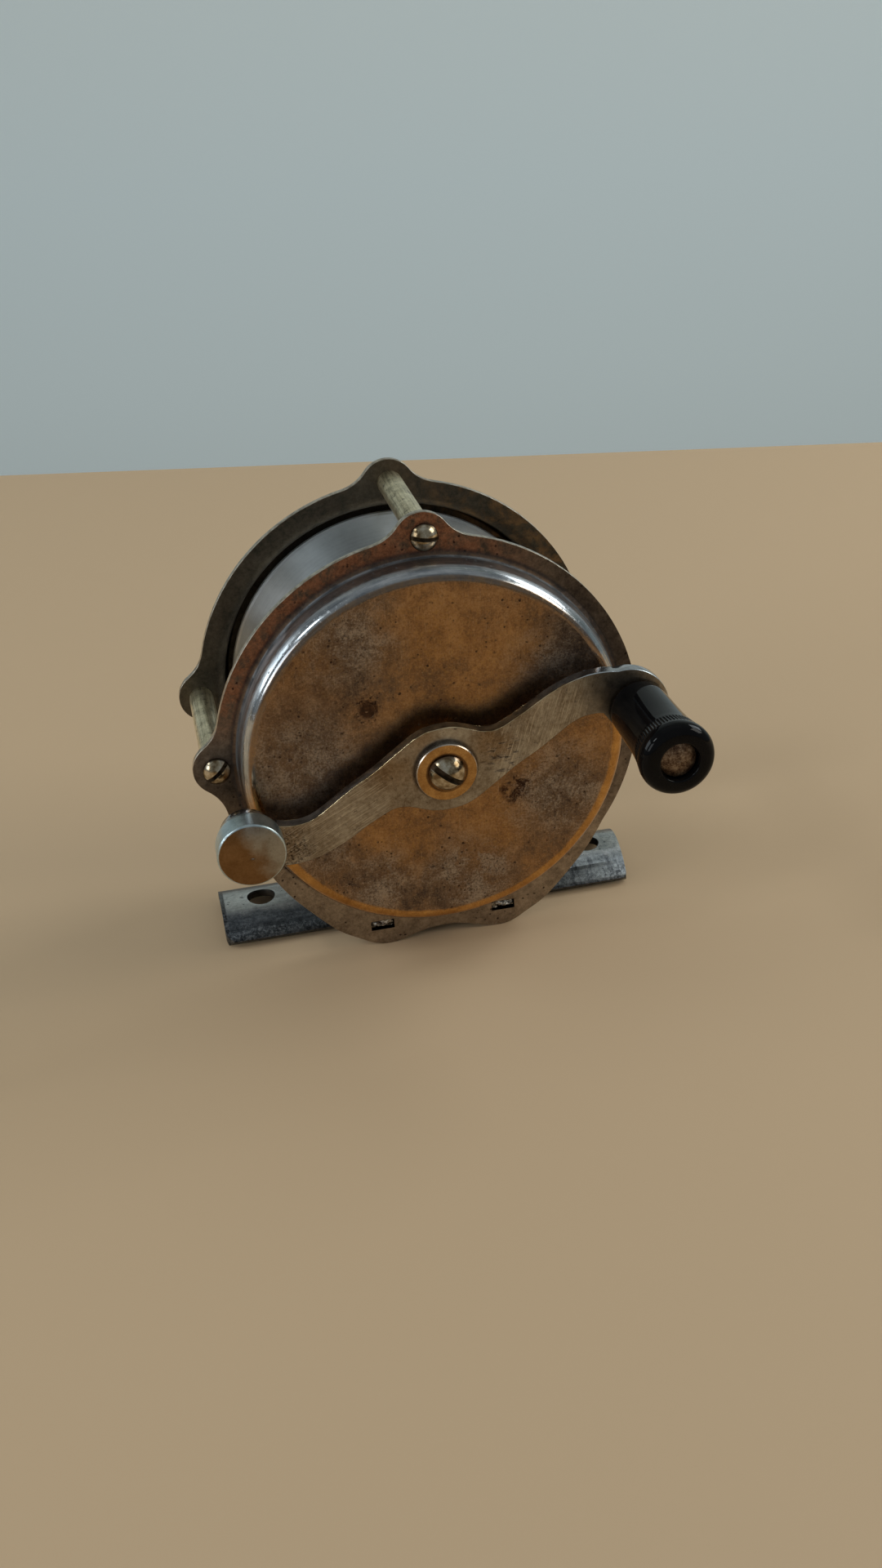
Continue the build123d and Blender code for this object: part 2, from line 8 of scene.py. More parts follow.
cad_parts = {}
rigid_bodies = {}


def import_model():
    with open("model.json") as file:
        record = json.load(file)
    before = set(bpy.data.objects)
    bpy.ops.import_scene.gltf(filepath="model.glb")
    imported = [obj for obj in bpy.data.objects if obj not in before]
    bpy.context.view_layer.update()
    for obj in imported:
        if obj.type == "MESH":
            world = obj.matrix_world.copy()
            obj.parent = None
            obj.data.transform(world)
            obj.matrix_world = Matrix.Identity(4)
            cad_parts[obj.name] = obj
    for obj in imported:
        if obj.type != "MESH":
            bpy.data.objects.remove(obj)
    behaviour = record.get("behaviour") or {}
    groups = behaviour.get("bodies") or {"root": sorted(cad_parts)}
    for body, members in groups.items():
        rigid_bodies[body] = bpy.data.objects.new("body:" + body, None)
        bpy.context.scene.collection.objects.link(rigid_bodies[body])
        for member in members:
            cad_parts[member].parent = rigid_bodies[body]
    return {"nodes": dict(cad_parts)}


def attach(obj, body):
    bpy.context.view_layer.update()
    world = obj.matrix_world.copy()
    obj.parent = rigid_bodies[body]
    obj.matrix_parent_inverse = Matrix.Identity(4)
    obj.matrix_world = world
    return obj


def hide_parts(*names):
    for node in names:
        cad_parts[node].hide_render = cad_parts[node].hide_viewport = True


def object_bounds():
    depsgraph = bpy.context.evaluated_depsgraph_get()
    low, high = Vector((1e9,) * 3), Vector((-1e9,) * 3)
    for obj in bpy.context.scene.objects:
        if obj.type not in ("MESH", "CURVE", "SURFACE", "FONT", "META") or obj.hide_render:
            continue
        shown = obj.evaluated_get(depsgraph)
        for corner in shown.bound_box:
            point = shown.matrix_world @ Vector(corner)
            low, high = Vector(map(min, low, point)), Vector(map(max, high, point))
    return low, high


for o in list(bpy.data.objects):
    bpy.data.objects.remove(o)

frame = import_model()
bpy.context.view_layer.update()
cad_lo, cad_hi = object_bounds()
nodes = frame["nodes"]

scene = bpy.context.scene
scene.view_settings.view_transform = "Standard"
scene.view_settings.look = "None"

AXLE_Z = 0.0289             # spool axis above the foot's hole centre
MM = 0.001


# ------------------------------------------------------------ material nodes
class Mat:
    """A small builder for node materials. Coordinates are the row frame's, in
    metres, because every piece keeps its place in its own mesh."""

    def __init__(self, name, metallic=1.0, ior=1.5, anisotropic=0.0, coat=0.0, coat_rough=0.05, specular=0.5):
        self.mat = bpy.data.materials.new(name)
        self.mat.use_nodes = True
        self.tree = self.mat.node_tree
        self.tree.nodes.clear()
        self.out = self.tree.nodes.new("ShaderNodeOutputMaterial")
        self.bsdf = self.tree.nodes.new("ShaderNodeBsdfPrincipled")
        self.tree.links.new(self.bsdf.outputs[0], self.out.inputs[0])
        b = self.bsdf.inputs
        b["Metallic"].default_value = metallic
        b["IOR"].default_value = ior
        b["Anisotropic"].default_value = anisotropic
        b["Coat Weight"].default_value = coat
        b["Coat Roughness"].default_value = coat_rough
        b["Specular IOR Level"].default_value = specular
        self.tc = self.tree.nodes.new("ShaderNodeTexCoord")
        self.P = self.tc.outputs["Object"]
        self.N = self.tc.outputs["Normal"]

    def new(self, kind, **props):
        n = self.tree.nodes.new(kind)
        for k, v in props.items():
            setattr(n, k, v)
        return n

    def put(self, socket, value):
        if isinstance(value, bpy.types.NodeSocket):
            self.tree.links.new(value, socket)
        elif isinstance(value, (tuple, list)) and len(value) == 3 and len(socket.default_value) == 4:
            socket.default_value = (*value, 1.0)
        else:
            socket.default_value = value

    def m(self, op, a, b=0.0, c=0.0, clamp=False):
        n = self.new("ShaderNodeMath", operation=op, use_clamp=clamp)
        self.put(n.inputs[0], a)
        self.put(n.inputs[1], b)
        if op in ("MULTIPLY_ADD", "SMOOTH_MIN", "SMOOTH_MAX", "COMPARE"):
            self.put(n.inputs[2], c)
        return n.outputs[0]

    def v(self, op, a, b=(0.0, 0.0, 0.0)):
        n = self.new("ShaderNodeVectorMath", operation=op)
        self.put(n.inputs[0], a)
        if op == "SCALE":
            self.put(n.inputs["Scale"], b)
        elif op not in ("LENGTH", "NORMALIZE", "ABSOLUTE"):
            self.put(n.inputs[1], b)
        return n.outputs["Value"] if op in ("LENGTH", "DISTANCE", "DOT_PRODUCT") else n.outputs["Vector"]

    def xyz(self, vec):
        n = self.new("ShaderNodeSeparateXYZ")
        self.put(n.inputs[0], vec)
        return n.outputs[0], n.outputs[1], n.outputs[2]

    def vec(self, x, y, z):
        n = self.new("ShaderNodeCombineXYZ")
        for i, s in enumerate((x, y, z)):
            self.put(n.inputs[i], s)
        return n.outputs[0]

    def noise(self, scale, detail=4.0, rough=0.55, dist=0.0, at=None, out="Fac"):
        """scale is a feature size in millimetres, one number or three."""
        at = self.P if at is None else at
        if isinstance(scale, (tuple, list)):
            at = self.v("MULTIPLY", at, tuple(1.0 / (s * MM) for s in scale))
            k = 1.0
        else:
            k = 1.0 / (scale * MM)
        n = self.new("ShaderNodeTexNoise")
        self.put(n.inputs["Vector"], at)
        n.inputs["Scale"].default_value = k
        n.inputs["Detail"].default_value = detail
        n.inputs["Roughness"].default_value = rough
        n.inputs["Distortion"].default_value = dist
        return n.outputs[0] if out == "Fac" else n.outputs[1]

    def voronoi(self, scale, at=None, feature="F1", rand=1.0, out="Distance"):
        n = self.new("ShaderNodeTexVoronoi", feature=feature)
        self.put(n.inputs["Vector"], self.P if at is None else at)
        n.inputs["Scale"].default_value = 1.0 / (scale * MM)
        n.inputs["Randomness"].default_value = rand
        return n.outputs[out]

    def step(self, x, lo, hi, to_lo=0.0, to_hi=1.0):
        """Smooth step of x from lo to hi, clamped."""
        n = self.new("ShaderNodeMapRange", interpolation_type="SMOOTHSTEP", clamp=True)
        self.put(n.inputs[0], x)
        for i, v in enumerate((lo, hi, to_lo, to_hi)):
            self.put(n.inputs[1 + i], v)
        return n.outputs[0]

    def lin(self, x, lo, hi, to_lo=0.0, to_hi=1.0):
        n = self.new("ShaderNodeMapRange", interpolation_type="LINEAR", clamp=True)
        self.put(n.inputs[0], x)
        for i, v in enumerate((lo, hi, to_lo, to_hi)):
            self.put(n.inputs[1 + i], v)
        return n.outputs[0]

    def mix(self, fac, a, b, blend="MIX"):
        n = self.new("ShaderNodeMix", data_type="RGBA", blend_type=blend)
        self.put(n.inputs[0], fac)
        self.put(n.inputs[6], a)
        self.put(n.inputs[7], b)
        return n.outputs[2]

    def mixf(self, fac, a, b):
        n = self.new("ShaderNodeMix", data_type="FLOAT")
        self.put(n.inputs[0], fac)
        self.put(n.inputs[2], a)
        self.put(n.inputs[3], b)
        return n.outputs[0]

    def ramp(self, fac, *stops):
        n = self.new("ShaderNodeValToRGB")
        self.put(n.inputs[0], fac)
        e = n.color_ramp.elements
        while len(e) < len(stops):
            e.new(0.5)
        for i, (p, c) in enumerate(stops):
            e[i].position = p
            e[i].color = (*c, 1.0)
        return n.outputs[0]

    def bump(self, *layers):
        """layers are (height, depth in millimetres); they add up."""
        last = None
        for h, d in layers:
            n = self.new("ShaderNodeBump")
            n.inputs["Strength"].default_value = 1.0
            n.inputs["Distance"].default_value = d * MM
            self.put(n.inputs["Height"], h)
            if last is not None:
                self.put(n.inputs["Normal"], last)
            last = n.outputs[0]
        self.put(self.bsdf.inputs["Normal"], last)

    def set(self, color=None, rough=None):
        if color is not None:
            self.put(self.bsdf.inputs["Base Color"], color)
        if rough is not None:
            self.put(self.bsdf.inputs["Roughness"], rough)
        return self.mat


def spot(M, x, z, r, soft, wob=0.0, size=0.6):
    """Mask of a round spot at (x, z) mm about the axle, radius r, wobbly edge."""
    px, py, pz = M.xyz(M.P)
    dx = M.m("SUBTRACT", px, x * MM)
    dz = M.m("SUBTRACT", pz, AXLE_Z + z * MM)
    d = M.m("SQRT", M.m("ADD", M.m("MULTIPLY", dx, dx), M.m("MULTIPLY", dz, dz)))
    if wob:
        n = M.noise(size, detail=3)
        d = M.m("ADD", d, M.m("MULTIPLY", M.m("SUBTRACT", n, 0.5), wob * MM))
    return M.step(d, (r + soft) * MM, (r - soft) * MM)


def polar_up(M):
    """(height above the axle in metres, radius about the axle, sine of the angle round it)."""
    px, py, pz = M.xyz(M.P)
    z0 = M.m("SUBTRACT", pz, AXLE_Z)
    r = M.m("SQRT", M.m("ADD", M.m("MULTIPLY", px, px), M.m("MULTIPLY", z0, z0)))
    return z0, r, M.m("DIVIDE", z0, M.m("MAXIMUM", r, 1 * MM))


def total(M, *parts):
    """Weighted sum of (socket, weight) pairs."""
    out = None
    for s, w in parts:
        t = M.m("MULTIPLY", s, w)
        out = t if out is None else M.m("ADD", out, t)
    return out


def any_of(M, *masks):
    out = masks[0]
    for k in masks[1:]:
        out = M.m("MAXIMUM", out, k)
    return out


def plate_material():
    M = Mat("plate_metal")
    px, py, pz = M.xyz(M.P)
    nx, ny, nz = M.xyz(M.N)
    z0, r, up = polar_up(M)
    ay = M.m("ABSOLUTE", py)
    any_ = M.m("ABSOLUTE", ny)
    flat = M.step(any_, 0.90, 0.985)
    outer = M.step(M.m("MULTIPLY", ny, M.m("SIGN", py)), 0.0, 0.2)      # faces away from the spool
    face = M.m("MULTIPLY", M.step(any_, 0.97, 0.995), M.step(ay, 16.9 * MM, 17.2 * MM))
    side = M.m("SUBTRACT", 1.0, flat)
    drum = M.m("MULTIPLY", M.step(ay, 12.75 * MM, 13.0 * MM), outer)

    nr = M.m("DIVIDE", M.m("ADD", M.m("MULTIPLY", nx, px), M.m("MULTIPLY", nz, z0)), M.m("MAXIMUM", r, 1 * MM))
    big = M.noise(15, detail=3, rough=0.5, dist=0.5)
    mid = M.noise(3.2, detail=6, rough=0.70, dist=0.35)
    fine = M.noise(0.65, detail=8, rough=0.85)
    # worn through to copper-brown here, greyer plating left there
    warm = any_of(M, spot(M, 1.0, 17.0, 6.5, 5.0, wob=9, size=6), spot(M, 3.0, 7.0, 6.0, 5.0, wob=8, size=5),
                  spot(M, 10.0, 14.0, 4.5, 3.5, wob=7, size=4),
                  spot(M, -6.0, -11.5, 6.0, 4.0, wob=8, size=5), spot(M, 6.5, -12.0, 5.5, 4.5, wob=9, size=5),
                  spot(M, 12.5, -3.0, 3.5, 3.0, wob=7, size=4), spot(M, 21.5, -1.0, 4.0, 3.0, wob=6, size=4),
                  spot(M, -16.0, 16.0, 3.0, 3.0, wob=6, size=4))
    greyz = any_of(M, spot(M, 17.5, 12.5, 5.0, 4.0, wob=9, size=5), spot(M, -18.5, 2.5, 7.5, 5.5, wob=8, size=5),
                   spot(M, -11.5, 18.0, 5.5, 4.5, wob=9, size=5), spot(M, 17.0, -8.5, 6.5, 4.5, wob=8, size=4),
                   spot(M, -9.5, -19.0, 5.0, 3.5, wob=7, size=4), spot(M, 3.0, -20.0, 6.5, 4.0, wob=8, size=4),
                   spot(M, -17.5, -12.0, 4.0, 3.0, wob=6, size=4))
    cloud = total(M, (big, 0.26), (mid, 0.36), (fine, 0.38))
    cloud = M.m("ADD", cloud, M.m("MULTIPLY", warm, 0.055))
    col = M.ramp(cloud, (0.40, (0.075, 0.056, 0.048)), (0.455, (0.160, 0.108, 0.076)), (0.51, (0.245, 0.148, 0.082)),
                 (0.56, (0.350, 0.200, 0.098)), (0.63, (0.470, 0.290, 0.150)))
    gold = M.m("MULTIPLY", warm, M.step(M.noise(0.55, detail=7, rough=0.85, at=M.v("ADD", M.P, (0.04, 0.01, 0.03))), 0.50, 0.60))
    col = M.mix(M.m("MULTIPLY", gold, 0.55), col, (0.56, 0.335, 0.115))
    col = M.mix(M.m("MULTIPLY", warm, 0.35), col, M.ramp(mid, (0.36, (0.250, 0.115, 0.036)), (0.66, (0.420, 0.215, 0.070))))
    speck = M.noise(0.36, detail=6, rough=0.80)
    grey = M.ramp(M.m("ADD", M.m("MULTIPLY", speck, 0.65), M.m("MULTIPLY", mid, 0.35)), (0.42, (0.060, 0.046, 0.042)),
                  (0.49, (0.195, 0.165, 0.145)), (0.57, (0.430, 0.385, 0.340)))
    patchy = M.step(M.m("ADD", mid, M.m("MULTIPLY", M.m("SUBTRACT", fine, 0.5), 0.5)), 0.40, 0.56)
    col = M.mix(M.m("MULTIPLY", M.m("MULTIPLY", greyz, M.lin(patchy, 0, 1, 0.35, 1.0)), 0.80), col, grey)
    zone = greyz
    dusk = any_of(M, spot(M, -17.0, 9.5, 6.0, 4.5, wob=8, size=4), spot(M, 14.5, 7.0, 3.5, 3.0, wob=6, size=4))
    col = M.mix(M.m("MULTIPLY", dusk, 0.45), col, M.ramp(fine, (0.40, (0.060, 0.038, 0.028)), (0.60, (0.170, 0.108, 0.076))))
    # dark pits and specks
    pits = M.voronoi(1.05, at=M.v("ADD", M.P, (0.003, 0.002, 0.009)))
    pit = M.step(M.m("ADD", pits, M.m("MULTIPLY", M.noise(0.45, detail=3), 0.42)), 0.42, 0.30)
    pit = M.m("MULTIPLY", pit, M.step(M.noise(5, detail=3), 0.44, 0.58))
    blot = M.step(M.noise(0.50, detail=5, rough=0.70, at=M.v("ADD", M.P, (0.05, 0.01, 0.02))), 0.575, 0.66)
    blot = M.m("MULTIPLY", blot, M.lin(zone, 0, 1, 0.30, 1.0))
    dark = M.m("MAXIMUM", pit, M.m("MULTIPLY", blot, 0.75))
    # flange: red at the top ear and upper left, grey-brown to the right and below
    ring = M.m("MULTIPLY", M.step(r, 27.4 * MM, 27.9 * MM), flat)
    red = M.m("MULTIPLY", M.m("MULTIPLY", M.step(up, 0.08, 0.40), M.step(px, 19 * MM, 5 * MM)),
              M.step(total(M, (mid, 0.6), (fine, 0.4)), 0.40, 0.54))
    low = M.step(up, -0.2, -0.75)
    flange = M.ramp(cloud, (0.40, (0.060, 0.048, 0.042)), (0.50, (0.140, 0.112, 0.092)), (0.60, (0.250, 0.200, 0.160)))
    flange = M.mix(M.m("MULTIPLY", red, 0.85), flange, M.ramp(fine, (0.38, (0.150, 0.055, 0.032)), (0.62, (0.380, 0.185, 0.110))))
    flange = M.mix(M.m("MULTIPLY", low, 0.8), flange,
                   M.ramp(total(M, (mid, 0.4), (fine, 0.6)), (0.40, (0.200, 0.155, 0.118)), (0.60, (0.480, 0.395, 0.305))))
    col = M.mix(ring, col, flange)
    col = M.mix(M.m("MULTIPLY", dark, 0.85), col, (0.030, 0.016, 0.011))
    # rough stains over the two riveted ends of the inner bridge
    s1 = spot(M, 10.6, -7.0, 2.1, 0.7, wob=3.2, size=1.2)
    dg = M.vec(M.m("ADD", px, M.m("MULTIPLY", pz, 0.35)), py, M.m("SUBTRACT", pz, M.m("MULTIPLY", px, 0.35)))
    s1 = M.m("MULTIPLY", s1, M.step(M.noise(1.3, detail=6, rough=0.8, dist=0.6, at=dg), 0.44, 0.54))
    s2 = any_of(M, M.m("MULTIPLY", spot(M, -9.2, 8.4, 1.30, 0.35, wob=1.1, size=0.6), 0.95),
                M.m("MULTIPLY", spot(M, -9.2, 8.4, 2.0, 0.5, wob=1.6, size=0.8),
                    M.step(M.noise(0.55, detail=4, rough=0.7), 0.53, 0.60)))
    s3 = M.m("MULTIPLY", spot(M, -22.5, -10.3, 2.0, 1.0, wob=3.0, size=1.0), M.step(M.noise(0.5, detail=4, rough=0.7), 0.50, 0.58))
    stain = M.m("MULTIPLY", any_of(M, s1, s2, s3), face)
    col = M.mix(M.m("MULTIPLY", stain, 0.92), col, M.ramp(fine, (0.4, (0.022, 0.010, 0.007)), (0.6, (0.085, 0.036, 0.018))))
    # rounded shoulder and wall of the drum: nickel above with a brown inner edge, brassy below
    brassy_low = M.step(M.m("ADD", up, M.m("MULTIPLY", px, -5.0)), 0.22, -0.12)
    theta = M.m("ARCTAN2", z0, px)
    hoop = M.noise((0.30, 0.55, 6.0), detail=5, rough=0.65, at=M.vec(r, py, M.m("MULTIPLY", theta, 26 * MM)))
    nickel = M.ramp(total(M, (mid, 0.35), (hoop, 0.65)), (0.38, (0.23, 0.26, 0.29)), (0.62, (0.62, 0.65, 0.67)))
    brassy = M.ramp(total(M, (mid, 0.5), (fine, 0.5)), (0.38, (0.36, 0.165, 0.045)), (0.62, (0.70, 0.390, 0.125)))
    brownlip = M.ramp(total(M, (mid, 0.5), (fine, 0.5)), (0.38, (0.150, 0.085, 0.040)), (0.62, (0.330, 0.190, 0.085)))
    inner_lip = M.m("MULTIPLY", M.step(any_, 0.70, 0.86), M.lin(mid, 0.38, 0.62, 0.80, 1.0))
    sh = M.mix(M.m("MULTIPLY", inner_lip, 0.9), nickel, brownlip)
    sh = M.mix(brassy_low, sh, brassy)
    reach = M.m("ADD", M.m("ADD", r, M.m("MULTIPLY", M.m("SUBTRACT", mid, 0.5), 0.7 * MM)), M.lin(brassy_low, 0.0, 1.0, 0.30 * MM, 0.60 * MM))
    shoulder = M.m("MULTIPLY", drum, M.step(reach, 25.25 * MM, 25.75 * MM))
    shoulder = M.m("MULTIPLY", shoulder, M.step(r, 27.75 * MM, 27.2 * MM))
    col = M.mix(M.m("MULTIPLY", shoulder, 0.94), col, sh)
    # painted shade and grime in the root crease of the drum, and cut edges of the sheet
    root = M.m("MULTIPLY", M.m("MULTIPLY", M.step(r, 26.95 * MM, 27.2 * MM), M.step(r, 28.3 * MM, 27.7 * MM)),
               M.m("MULTIPLY", M.step(ay, 14.0 * MM, 13.3 * MM), outer))
    col = M.mix(M.m("MULTIPLY", root, M.lin(mid, 0.4, 0.6, 0.35, 0.85)), col, (0.030, 0.032, 0.038))
    edge = M.m("MULTIPLY", M.m("MULTIPLY", side, M.step(r, 28.9 * MM, 29.3 * MM)), M.step(ay, 13.0 * MM, 12.8 * MM))
    col = M.mix(M.m("MULTIPLY", edge, 0.85), col,
                M.ramp(M.noise(0.8, detail=4), (0.38, (0.30, 0.25, 0.19)), (0.62, (0.66, 0.60, 0.50))))
    # walls of the tab slots darkened to near black
    slot = None
    for sx in (-9.1, 9.1):
        k = M.m("MULTIPLY", M.step(M.m("ABSOLUTE", M.m("SUBTRACT", px, sx * MM)), 1.85 * MM, 1.70 * MM),
                M.step(M.m("ABSOLUTE", M.m("ADD", z0, 28.9 * MM)), 0.88 * MM, 0.76 * MM))
        slot = k if slot is None else M.m("MAXIMUM", slot, k)
    col = M.mix(M.m("MULTIPLY", slot, side), col, (0.018, 0.013, 0.010))
    # inside faces: painted shade, dusty, with a painted warm reflection to the right
    inner = M.m("MAXIMUM", M.m("MULTIPLY", M.m("SUBTRACT", 1.0, outer), flat),
                M.m("MULTIPLY", M.step(nr, -0.05, -0.25), M.m("MULTIPLY", M.step(r, 27.9 * MM, 27.6 * MM), M.step(r, 20 * MM, 21 * MM))))
    inside = M.mix(M.m("MULTIPLY", M.step(px, -2 * MM, 16 * MM), M.step(mid, 0.42, 0.60)),
                   M.ramp(cloud, (0.40, (0.060, 0.054, 0.042)), (0.60, (0.180, 0.162, 0.125))),
                   M.ramp(mid, (0.40, (0.100, 0.066, 0.036)), (0.62, (0.285, 0.178, 0.092))))
    col = M.mix(M.m("MULTIPLY", inner, 0.9), col, inside)

    # fine scratches, upright and slanting
    scr = M.noise((0.10, 1.0, 3.8), detail=5, rough=0.75, dist=0.15)
    diag = M.vec(M.m("ADD", px, M.m("MULTIPLY", pz, 0.75)), py, M.m("SUBTRACT", pz, M.m("MULTIPLY", px, 0.75)))
    scr2 = M.noise((5.0, 1.0, 0.14), detail=5, rough=0.75, at=diag)
    bright = M.m("MULTIPLY", M.step(scr, 0.57, 0.67), M.step(M.noise(4, detail=2), 0.42, 0.58))
    col = M.mix(M.m("MULTIPLY", M.m("MULTIPLY", bright, face), 0.42), col, (0.50, 0.41, 0.31))
    bright2 = M.m("MULTIPLY", M.step(scr2, 0.58, 0.70), spot(M, -10, 14, 12, 6, wob=8, size=5))
    col = M.mix(M.m("MULTIPLY", M.m("MULTIPLY", bright2, face), 0.38), col, (0.50, 0.36, 0.22))
    lines = M.m("MULTIPLY", M.step(scr, 0.42, 0.32), face)
    col = M.mix(M.m("MULTIPLY", lines, 0.45), col, (0.050, 0.032, 0.024))
    clear = M.m("MULTIPLY", face, M.m("SUBTRACT", 1.0, stain))
    grit = M.noise(0.28, detail=6, rough=0.85, at=M.v("ADD", M.P, (0.02, 0.05, 0.04)))
    col = M.mix(M.m("MULTIPLY", M.m("MULTIPLY", M.step(grit, 0.54, 0.62), clear), 0.45), col, (0.50, 0.36, 0.22))
    col = M.mix(M.m("MULTIPLY", M.m("MULTIPLY", M.step(grit, 0.46, 0.38), clear), 0.45), col, (0.060, 0.038, 0.028))
    hair = M.noise((0.9, 1.0, 0.10), detail=6, rough=0.80, dist=1.2, at=M.v("ADD", diag, (0.02, 0.0, 0.01)))
    col = M.mix(M.m("MULTIPLY", M.m("MULTIPLY", M.step(hair, 0.40, 0.31), face), 0.55), col, (0.040, 0.024, 0.018))

    rough = M.m("ADD", M.mixf(greyz, 0.30, 0.40), M.m("MULTIPLY", M.m("SUBTRACT", fine, 0.5), 0.22))
    rough = M.mixf(ring, rough, M.m("ADD", 0.40, M.m("MULTIPLY", M.m("SUBTRACT", fine, 0.5), 0.3)))
    rough = M.mixf(shoulder, rough, M.mixf(M.step(any_, 0.50, 0.22), 0.155, 0.42))
    rough = M.mixf(M.m("MULTIPLY", inner, 0.9), rough, 0.48)
    rough = M.mixf(any_of(M, dark, stain, root), rough, 0.62)
    open_ = M.m("SUBTRACT", 1.0, M.m("MULTIPLY", shoulder, 0.97))
    M.bump((M.m("MULTIPLY", M.m("ADD", scr, M.m("MULTIPLY", M.m("MULTIPLY", scr2, face), 0.6)), open_), 0.0024),
           (M.m("MULTIPLY", M.m("MULTIPLY", M.m("MAXIMUM", dark, stain), -1.0), open_), 0.014),
           (M.m("MULTIPLY", fine, open_), 0.008), (M.m("MULTIPLY", M.noise(9, detail=2), open_), 0.030))
    return M.set(col, rough)


def crank_material():
    M = Mat("crank_metal")
    px, py, pz = M.xyz(M.P)
    nx, ny, nz = M.xyz(M.N)
    z0, r, up = polar_up(M)
    front = M.m("MULTIPLY", ny, -1.0)
    flat = M.step(front, 0.90, 0.985)
    big = M.noise(10, detail=3, rough=0.5, dist=0.3)
    mid = M.noise(2.6, detail=6, rough=0.68, dist=0.3)
    fine = M.noise(0.5, detail=8, rough=0.85)
    # brush marks across the arms, steep on the right arm, slanting on the left
    c, s_ = math.cos(math.radians(72)), math.sin(math.radians(72))
    along = M.m("ADD", M.m("MULTIPLY", px, c), M.m("MULTIPLY", pz, s_))
    across = M.m("SUBTRACT", M.m("MULTIPLY", px, s_), M.m("MULTIPLY", pz, c))
    brush = M.noise((0.19, 1.0, 3.6), detail=5, rough=0.80, dist=0.10, at=M.vec(across, py, along))
    c, s_ = math.cos(math.radians(28)), math.sin(math.radians(28))
    along2 = M.m("ADD", M.m("MULTIPLY", px, c), M.m("MULTIPLY", pz, s_))
    across2 = M.m("SUBTRACT", M.m("MULTIPLY", px, s_), M.m("MULTIPLY", pz, c))
    brush2 = M.noise((0.13, 1.0, 4.0), detail=5, rough=0.78, dist=0.2, at=M.vec(across2, py, along2))
    on_right = M.m("MULTIPLY", M.step(px, 3.5 * MM, 9 * MM), M.step(px, 22 * MM, 19 * MM))
    on_left = M.step(px, -5 * MM, -10 * MM)
    cloud = total(M, (big, 0.25), (mid, 0.35), (fine, 0.40))
    cloud = M.m("ADD", cloud, M.m("MULTIPLY", M.step(px, 4 * MM, 14 * MM), 0.035))
    col = M.ramp(cloud, (0.40, (0.150, 0.110, 0.076)), (0.46, (0.250, 0.204, 0.152)), (0.54, (0.380, 0.336, 0.272)),
                 (0.61, (0.500, 0.450, 0.372)))
    # browner near the hub's left and where the arm meets the plate's dark side
    brown = any_of(M, spot(M, -7.5, 1.0, 3.2, 3.0, wob=5, size=3), spot(M, 6.5, 2.8, 2.6, 2.0, wob=5, size=2.5),
                   spot(M, -3.0, 4.6, 2.2, 1.8, wob=3, size=2), spot(M, -24.0, -7.5, 3.0, 2.5, wob=4, size=2))
    col = M.mix(M.m("MULTIPLY", brown, 0.55), col, M.ramp(fine, (0.38, (0.150, 0.085, 0.035)), (0.62, (0.330, 0.205, 0.095))))
    mark = M.m("ADD", M.m("MULTIPLY", M.m("SUBTRACT", brush, 0.5), on_right), M.m("MULTIPLY", M.m("SUBTRACT", brush2, 0.5), on_left))
    light = M.m("MULTIPLY", M.step(mark, 0.03, 0.11), flat)
    shade = M.m("MULTIPLY", M.step(mark, -0.03, -0.11), flat)
    col = M.mix(M.m("MULTIPLY", light, 0.50), col, (0.70, 0.63, 0.52))
    col = M.mix(M.m("MULTIPLY", shade, 0.42), col, (0.115, 0.086, 0.062))
    tarn = M.m("MULTIPLY", spot(M, 24.2, 6.6, 3.8, 2.2, wob=3.5, size=1.6), flat)
    col = M.mix(M.m("MULTIPLY", tarn, 0.75), col, M.ramp(mid, (0.4, (0.060, 0.060, 0.066)), (0.65, (0.165, 0.135, 0.105))))
    pits = M.step(M.noise(0.55, detail=5, rough=0.75, at=M.v("ADD", M.P, (0.01, 0.03, 0.02))), 0.60, 0.68)
    col = M.mix(M.m("MULTIPLY", pits, 0.7), col, (0.055, 0.034, 0.024))
    # scratched corner below the weight, a scuff right of the hub, a dark line round the washer
    scuff = M.m("MULTIPLY", spot(M, -22.3, -8.6, 3.0, 1.4, wob=3.0, size=1.0), M.step(M.noise(0.45, detail=6, rough=0.8), 0.50, 0.57))
    scuff = M.m("MAXIMUM", scuff, M.m("MULTIPLY", spot(M, 8.2, 1.0, 2.6, 1.4, wob=3.0, size=1.0),
                                      M.step(M.noise((1.6, 1, 0.3), detail=5, rough=0.75), 0.54, 0.60)))
    wash = M.m("MULTIPLY", M.step(r, 4.75 * MM, 4.35 * MM), M.lin(mid, 0.4, 0.6, 0.5, 1.0))
    col = M.mix(M.m("MULTIPLY", M.m("MAXIMUM", scuff, wash), 0.88), col, (0.030, 0.018, 0.012))
